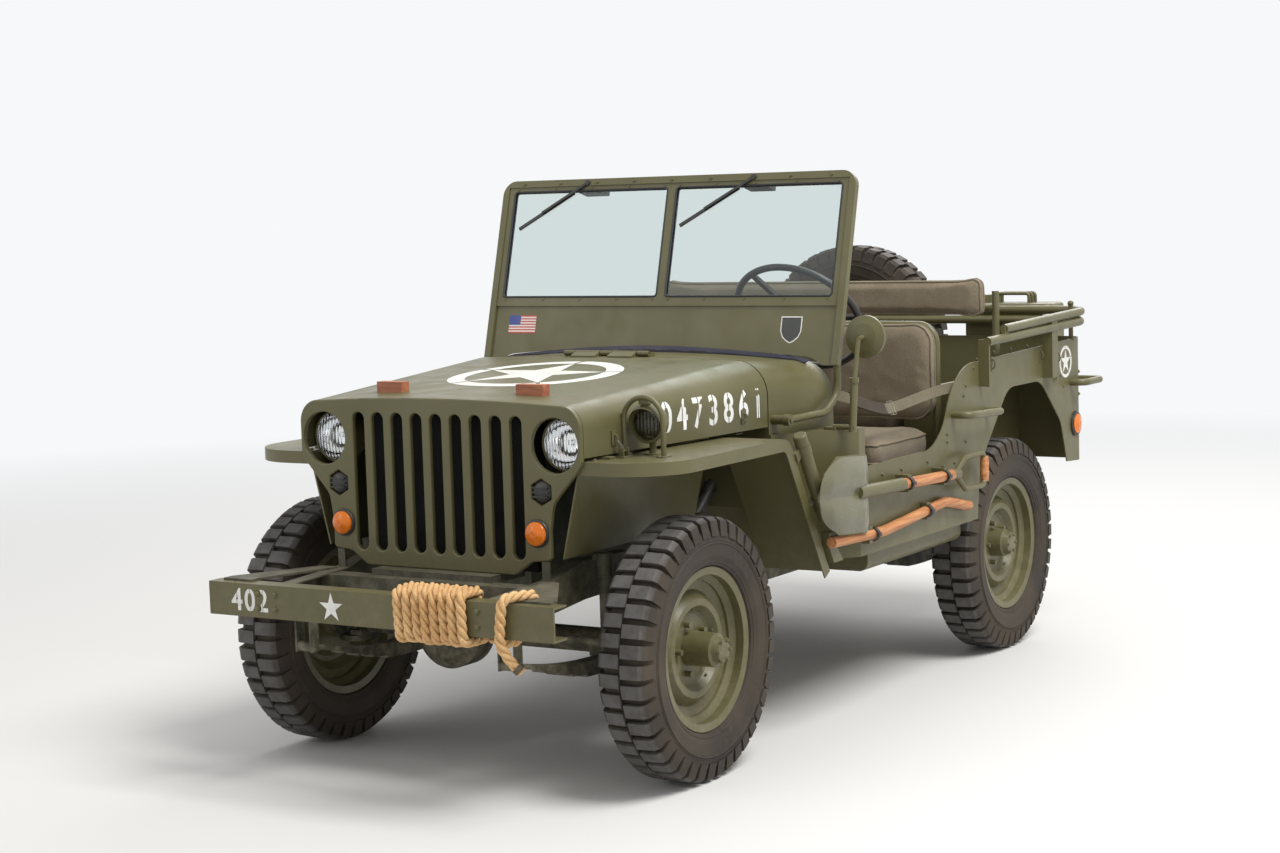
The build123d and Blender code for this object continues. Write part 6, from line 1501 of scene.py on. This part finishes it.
# %% Tools and their clamps
BLADE_REAR, BLADE_TIP = 0.294, 0.600
blade_shell = bmesh.new()
grid = {}
COLUMNS, ROWS = 34, 26
for i in range(COLUMNS + 1):
    for j in range(ROWS + 1):
        along, across = i / COLUMNS, 2 * j / ROWS - 1
        taper = 1.0 if along < 0.42 else math.sqrt(max(0.0, 1 - ((along - 0.42) / 0.58) ** 2))
        taper = 0.10 + 0.90 * taper
        x = BLADE_REAR + 0.002 + (BLADE_TIP - BLADE_REAR - 0.006) * along
        z = 0.683 + 0.015 * min(1.0, along / 0.6) + 0.112 * across * taper
        lobe = math.cos(math.pi * (abs(across) - 0.5)) if abs(across) < 1 else 0.0
        ends = min(1.0, 6 * along + 0.25) * min(1.0, 5 * (1 - along) + 0.05)
        grid[i, j] = blade_shell.verts.new((x, 0.7525 + 0.016 * lobe * ends, z))
for i in range(COLUMNS):
    for j in range(ROWS):
        blade_shell.faces.new((grid[i, j], grid[i, j + 1], grid[i + 1, j + 1], grid[i + 1, j]))
shell_obj = piece("shovel_blade_face", blade_shell, tool_olive, "car_body", sharp=60)
for face in shell_obj.data.polygons:
    if face.normal.y < 0:
        face.flip()
shell_obj.data.update()


def arc_over(x, y, z, reach, half, steps):
    """Half a turn round a point, from above it to below it, that reaches sideways."""
    return [(x, y + reach * s, z + half * c) for c, s in around(steps, turns=0.5)]


clamps = bmesh.new()
CLAMP_STEPS = 12
# columns: place, half height, reach out, width; straps that pass over a handle
for (x, y, z), half, reach, width in (
    ((0.224, 0.731, 0.552), 0.020, 0.022, 0.010),
    ((0.020, 0.750, 0.680), 0.021, 0.022, 0.012),
    ((-0.240, 0.750, 0.6705), 0.021, 0.022, 0.012),
    ((-0.150, 0.731, 0.5732), 0.020, 0.022, 0.012),
):
    sides = (x - width / 2, x + width / 2)
    edges = [arc_over(side_x, y, z, reach, half, CLAMP_STEPS) for side_x in sides]
    for edge in edges:
        sweep(clamps, edge, 0.0022, 8)
    rows = [[clamps.verts.new((px, py + 0.0012, pz)) for px, py, pz in edge] for edge in edges]
    for step in range(CLAMP_STEPS):
        clamps.faces.new((rows[0][step], rows[1][step], rows[1][step + 1], rows[0][step + 1]))
    outside = y + reach
    block(clamps, (x - width, outside - 0.002, z - 0.006), (x + width, outside + 0.005, z + 0.006),
          0.0015)
piece("tool_straps", clamps, black_paint, "car_body", sharp=50)
grips = bmesh.new()
sweep(grips, [(-0.556, 0.750, 0.618), (-0.556, 0.750, 0.640), (-0.556, 0.750, 0.678),
    (-0.556, 0.750, 0.700)], [0.0125, 0.0145, 0.0145, 0.0125], 20)
piece("shovel_grip", grips, handle_wood, "car_body")
loops = bmesh.new()
for side in (-1, 1):
    for x, z in ((-1.275, 0.965), (-1.245, 0.905), (-0.71, 0.985), (-1.12, 0.985)):
        base = on_surface("body_tub", (x, side * 0.70, z), (0, side, 0))
        block(loops, (x - 0.009, base.y - 0.001, z - 0.024), (x + 0.009, base.y + 0.002, z + 0.024),
            0.001)
        sweep(loops, arc_over(x, base.y, z, side * 0.011, 0.016, 8), 0.0024, 8)
piece("strap_loops", loops, olive, "car_body")
print("tools dressed")

# %% [markdown]
# Spring catches hold the hood to the fenders: a hook on the hood, a coil spring and a pin
# between two ears. A turned tube with bump could stand for the coil, but its outline would be
# smooth, so it is a real helix. The hooks ride on the hood, and the rest stays on the car.

# %% Hood catches
catches = bmesh.new()
catch_springs = bmesh.new()
hood_hooks = bmesh.new()
# columns: stand-off from the hood's wall, height
HOOK = ((0.002, 0.946), (0.011, 0.943), (0.013, 0.934))
for side in (-1, 1):
    foot_y = side * 0.512
    for x in (0.640, 1.240):
        wall_y = on_surface("hood", (x, side * 0.44, 0.925), (0, side, 0), 0.25).y
        block(catches, (x - 0.020, foot_y - 0.012, FENDER_TOP), (x + 0.020, foot_y + 0.012, 0.890),
              0.0008)
        for ear in (x - 0.014, x + 0.010):
            ear_low, ear_high = (ear, foot_y - 0.008, 0.889), (ear + 0.004, foot_y + 0.008, 0.912)
            block(catches, ear_low, ear_high, 0.001)
        sweep(catches, [(x - 0.016, foot_y, 0.904), (x + 0.016, foot_y, 0.904)], 0.003, 10)
        top, foot = Vector((x, wall_y + side * 0.011, 0.934)), Vector((x, foot_y, 0.906))
        coil = []
        for step in range(61):
            share = step / 60
            angle = 2 * math.pi * 6 * share
            middle = foot.lerp(top, 0.12 + 0.76 * share)
            coil.append(middle + Vector((0.0052 * math.cos(angle), 0.0052 * math.sin(angle), 0)))
        sweep(catch_springs, coil, 0.0011, 6)
        plate = sorted((wall_y, wall_y + side * 0.003))
        block(hood_hooks, (x - 0.013, plate[0], 0.918), (x + 0.013, plate[1], 0.958), 0.001)
        hook = [(x, wall_y + side * off, z) for off, z in HOOK]
        sweep(hood_hooks, hook, 0.003, 10)
piece("hood_catches", catches, olive, "car_body")
piece("hood_catch_springs", catch_springs, worn_steel, "car_body")
piece("hood_catch_hooks", hood_hooks, olive, "hood_body")
print("hood catches built")

# %% [markdown]
# The dash is a plain panel with round gauges, a few knobs and a grab rail. Each gauge is a
# shallow can with a rim, a dark dial, pale marks and one hand. The marks could be a painted
# ring pattern; thin blocks keep sharp edges and need no image.

# %% Dash
DASH_X = 0.2325
gauge_rims = bmesh.new()
gauge_dials = bmesh.new()
gauge_marks = bmesh.new()
# columns: y, z, radius
GAUGES = (
    (0.045, 0.965, 0.048), (0.132, 0.985, 0.026), (-0.042, 0.985, 0.026), (0.132, 0.930, 0.026),
    (-0.042, 0.930, 0.026),
)
# columns: height off the dash, radius beyond the dial's
RIM = [(0, 0.005), (0.006, 0.005), (0.009, 0.002), (0.008, -0.001), (0.004, -0.002)]


def hand_at(shape, place, degrees, start, end, half):
    """Adds a thin bar on a dial, at an angle, between two distances from its middle."""
    matrix = Matrix.Translation(place) @ Matrix.Rotation(math.radians(degrees), 4, "X")
    block(shape, (-0.0004, start, -half), (0.0004, end, half), 0.0, matrix)


for y, z, radius in GAUGES:
    profile = [(0, 0)] + [(height, radius + wider) for height, wider in RIM]
    lathe(gauge_rims, (DASH_X, y, z), (-1, 0, 0), profile, 40)
    dial = [(0, radius - 0.001), (0.0015, radius - 0.0015), (0.0015, 0)]
    lathe(gauge_dials, (DASH_X - 0.0035, y, z), (-1, 0, 0), dial, 40)
    mark = (DASH_X - 0.0056, y, z)
    for number in range(11):
        hand_at(gauge_marks, mark, 215 - 25 * number, radius * 0.74, radius * 0.92, 0.0007)
    hand_at(gauge_marks, (DASH_X - 0.0058, y, z), 150, -radius * 0.15, radius * 0.78, 0.0006)
KNOB = [
    (0, 0), (0, 0.004), (0.012, 0.004), (0.013, 0.010), (0.019, 0.011), (0.023, 0.008), (0.024, 0),
]
for y, z in ((0.24, 0.955), (0.29, 0.955), (0.24, 0.91), (-0.11, 0.91), (-0.16, 0.955)):
    lathe(gauge_rims, (DASH_X, y, z), (-1, 0, 0), KNOB, 20)
for y in (-0.34, -0.45):
    block(gauge_marks, (DASH_X - 0.0012, y, 0.925), (DASH_X, y + 0.09, 0.965), 0.0004)
piece("dash_rims", gauge_rims, black_paint, "car_body")
piece("dash_dials", gauge_dials, black_paint, "car_body")
piece("dash_marks", gauge_marks, worn_steel, "car_body")
rail = bmesh.new()
# columns: x, y
RAIL = ((0.233, -0.60), (0.212, -0.60), (0.205, -0.575), (0.205, -0.30), (0.212, -0.275),
    (0.233, -0.275))
sweep(rail, [(x, y, 0.90) for x, y in RAIL], 0.007, 12)
piece("dash_rail", rail, olive, "car_body")
print("dash built")

# %% [markdown]
# The fuel can's rear is pressed with a cross so that it doesn't drum. Two webbing straps with
# buckles hold the can in its holder. The cross could be pressed into the can's own mesh, but
# the frame's solids stay as they are, so two rods are laid half sunk, on points that rays find.

# %% Fuel can pressings and straps
can_press = bmesh.new()
CAN_X, CAN_Y = -1.674, 0.420
for side in (-1, 1):
    lower = Vector((CAN_X, CAN_Y - side * 0.115, 0.800))
    upper = Vector((CAN_X, CAN_Y + side * 0.115, 1.030))
    path = [lower.lerp(upper, step / 10) for step in range(11)]
    spots = [on_surface("jerry_can", spot, (-1, 0, 0)) for spot in path]
    sweep(can_press, spots, [0.004] + [0.0062] * 9 + [0.004], 12)
straps = bmesh.new()
for side in (-1, 1):
    y = CAN_Y + side * 0.075
    path = []
    for z in (0.78, 0.90, 1.02, 1.10):
        hit = on_surface("jerry_can", (CAN_X, y, z), (-1, 0, 0))
        path.append(hit + Vector((-0.0015, 0, 0)))
    for first, second in zip(path, path[1:]):
        low_x, high_x = sorted((first.x, second.x))
        low_z, high_z = sorted((first.z, second.z))
        block(straps, (low_x - 0.001, y - 0.012, low_z), (high_x + 0.001, y + 0.012, high_z),
            0.0006)
    block(straps, (path[1].x - 0.006, y - 0.016, 0.885), (path[1].x, y + 0.016, 0.915), 0.002)
piece("fuel_can_cross", can_press, olive, "car_body", sharp=60)
piece("fuel_can_straps", straps, strap_webbing, "car_body")
print("fuel can dressed")

# %% [markdown]
# The car stands on a plain pale floor, under one broad soft key from the upper left front and
# a weaker fill. The world is a plain pale grey, white where the camera or a gloss sees it.

# %% Floor and light
def build_floor():
    """A wide plain floor that is not part of the car."""
    floor = flat_faces([rectangle(-90, -90, 90, 90)])
    material = new_material("pale_floor", Base_Color=(0.62, 0.61, 0.59, 1), Roughness=0.9)
    # Far from the car the floor runs into the white behind it.
    tree = material.node_tree
    place = put(tree, "ShaderNodeTexCoord").outputs["Object"]
    reach = put(tree, "ShaderNodeVectorMath", {0: place}, operation="LENGTH").outputs["Value"]
    white = put(tree, "ShaderNodeEmission", {"Color": (0.93, 0.94, 0.95, 1)}).outputs[0]
    plain = tree.nodes["Principled BSDF"].outputs[0]
    blend = put(tree, "ShaderNodeMixShader", {0: span(tree, reach, 2.6, 9.0), 1: plain, 2: white})
    tree.links.new(blend.outputs[0], tree.nodes["Material Output"].inputs["Surface"])
    obj = add_mesh("floor", floor, material)


build_floor()


def add_light(name, location, target, size, power):
    """A soft square lamp aimed at a point."""
    data = bpy.data.lights.new(name, "AREA")
    data.shape = "SQUARE"
    data.size = size
    data.energy = power
    lamp = bpy.data.objects.new(name, data)
    scene.collection.objects.link(lamp)
    lamp.location = location
    aim = Vector(target) - Vector(location)
    lamp.rotation_euler = aim.to_track_quat("-Z", "Y").to_euler()


add_light("key", (0.8, 4.6, 7.5), (0, 0, 0.6), 4.0, 780)
add_light("fill", (6.5, -4.5, 3.5), (0, 0, 0.7), 4.0, 70)
add_light("back", (-6.0, -1.0, 5.0), (0, 0, 0.8), 4.0, 200)

world = bpy.data.worlds.new("pale_room")
scene.world = world
world.use_nodes = True
tree = world.node_tree
background = tree.nodes["Background"]
paths = tree.nodes.new("ShaderNodeLightPath")
seen = sums(tree, "MAXIMUM", paths.outputs["Is Camera Ray"], paths.outputs["Is Glossy Ray"])
seen = sums(tree, "MAXIMUM", seen, paths.outputs["Is Transmission Ray"])
background.inputs["Color"].default_value = (0.93, 0.94, 0.95, 1)
tree.links.new(span(tree, seen, 0.0, 1.0, 0.68, 1.0), background.inputs["Strength"])
scene.view_settings.view_transform = "Standard"

# %% [markdown]
# The camera stands where the photographer stood: ahead and to the car's left, at eye height,
# with a long lens. Its turn is given as yaw, pitch and a slight roll.

# %% Camera
camera_data = bpy.data.cameras.new("camera")
camera = bpy.data.objects.new("camera", camera_data)
scene.collection.objects.link(camera)
camera.location = (6.480, 3.850, 1.578)
yaw, pitch, roll = (math.radians(v) for v in (-147.913, -5.615, -1.779))
turn = Matrix.Rotation(yaw - math.pi / 2, 3, "Z") @ Matrix.Rotation(math.pi / 2 + pitch, 3, "X")
turn = turn @ Matrix.Rotation(roll, 3, "Z")
camera.rotation_euler = turn.to_euler()
camera_data.sensor_width = 36
camera_data.lens = 66.52
camera_data.clip_end = 100
scene.camera = camera
print("camera at", tuple(round(v, 3) for v in camera.location))
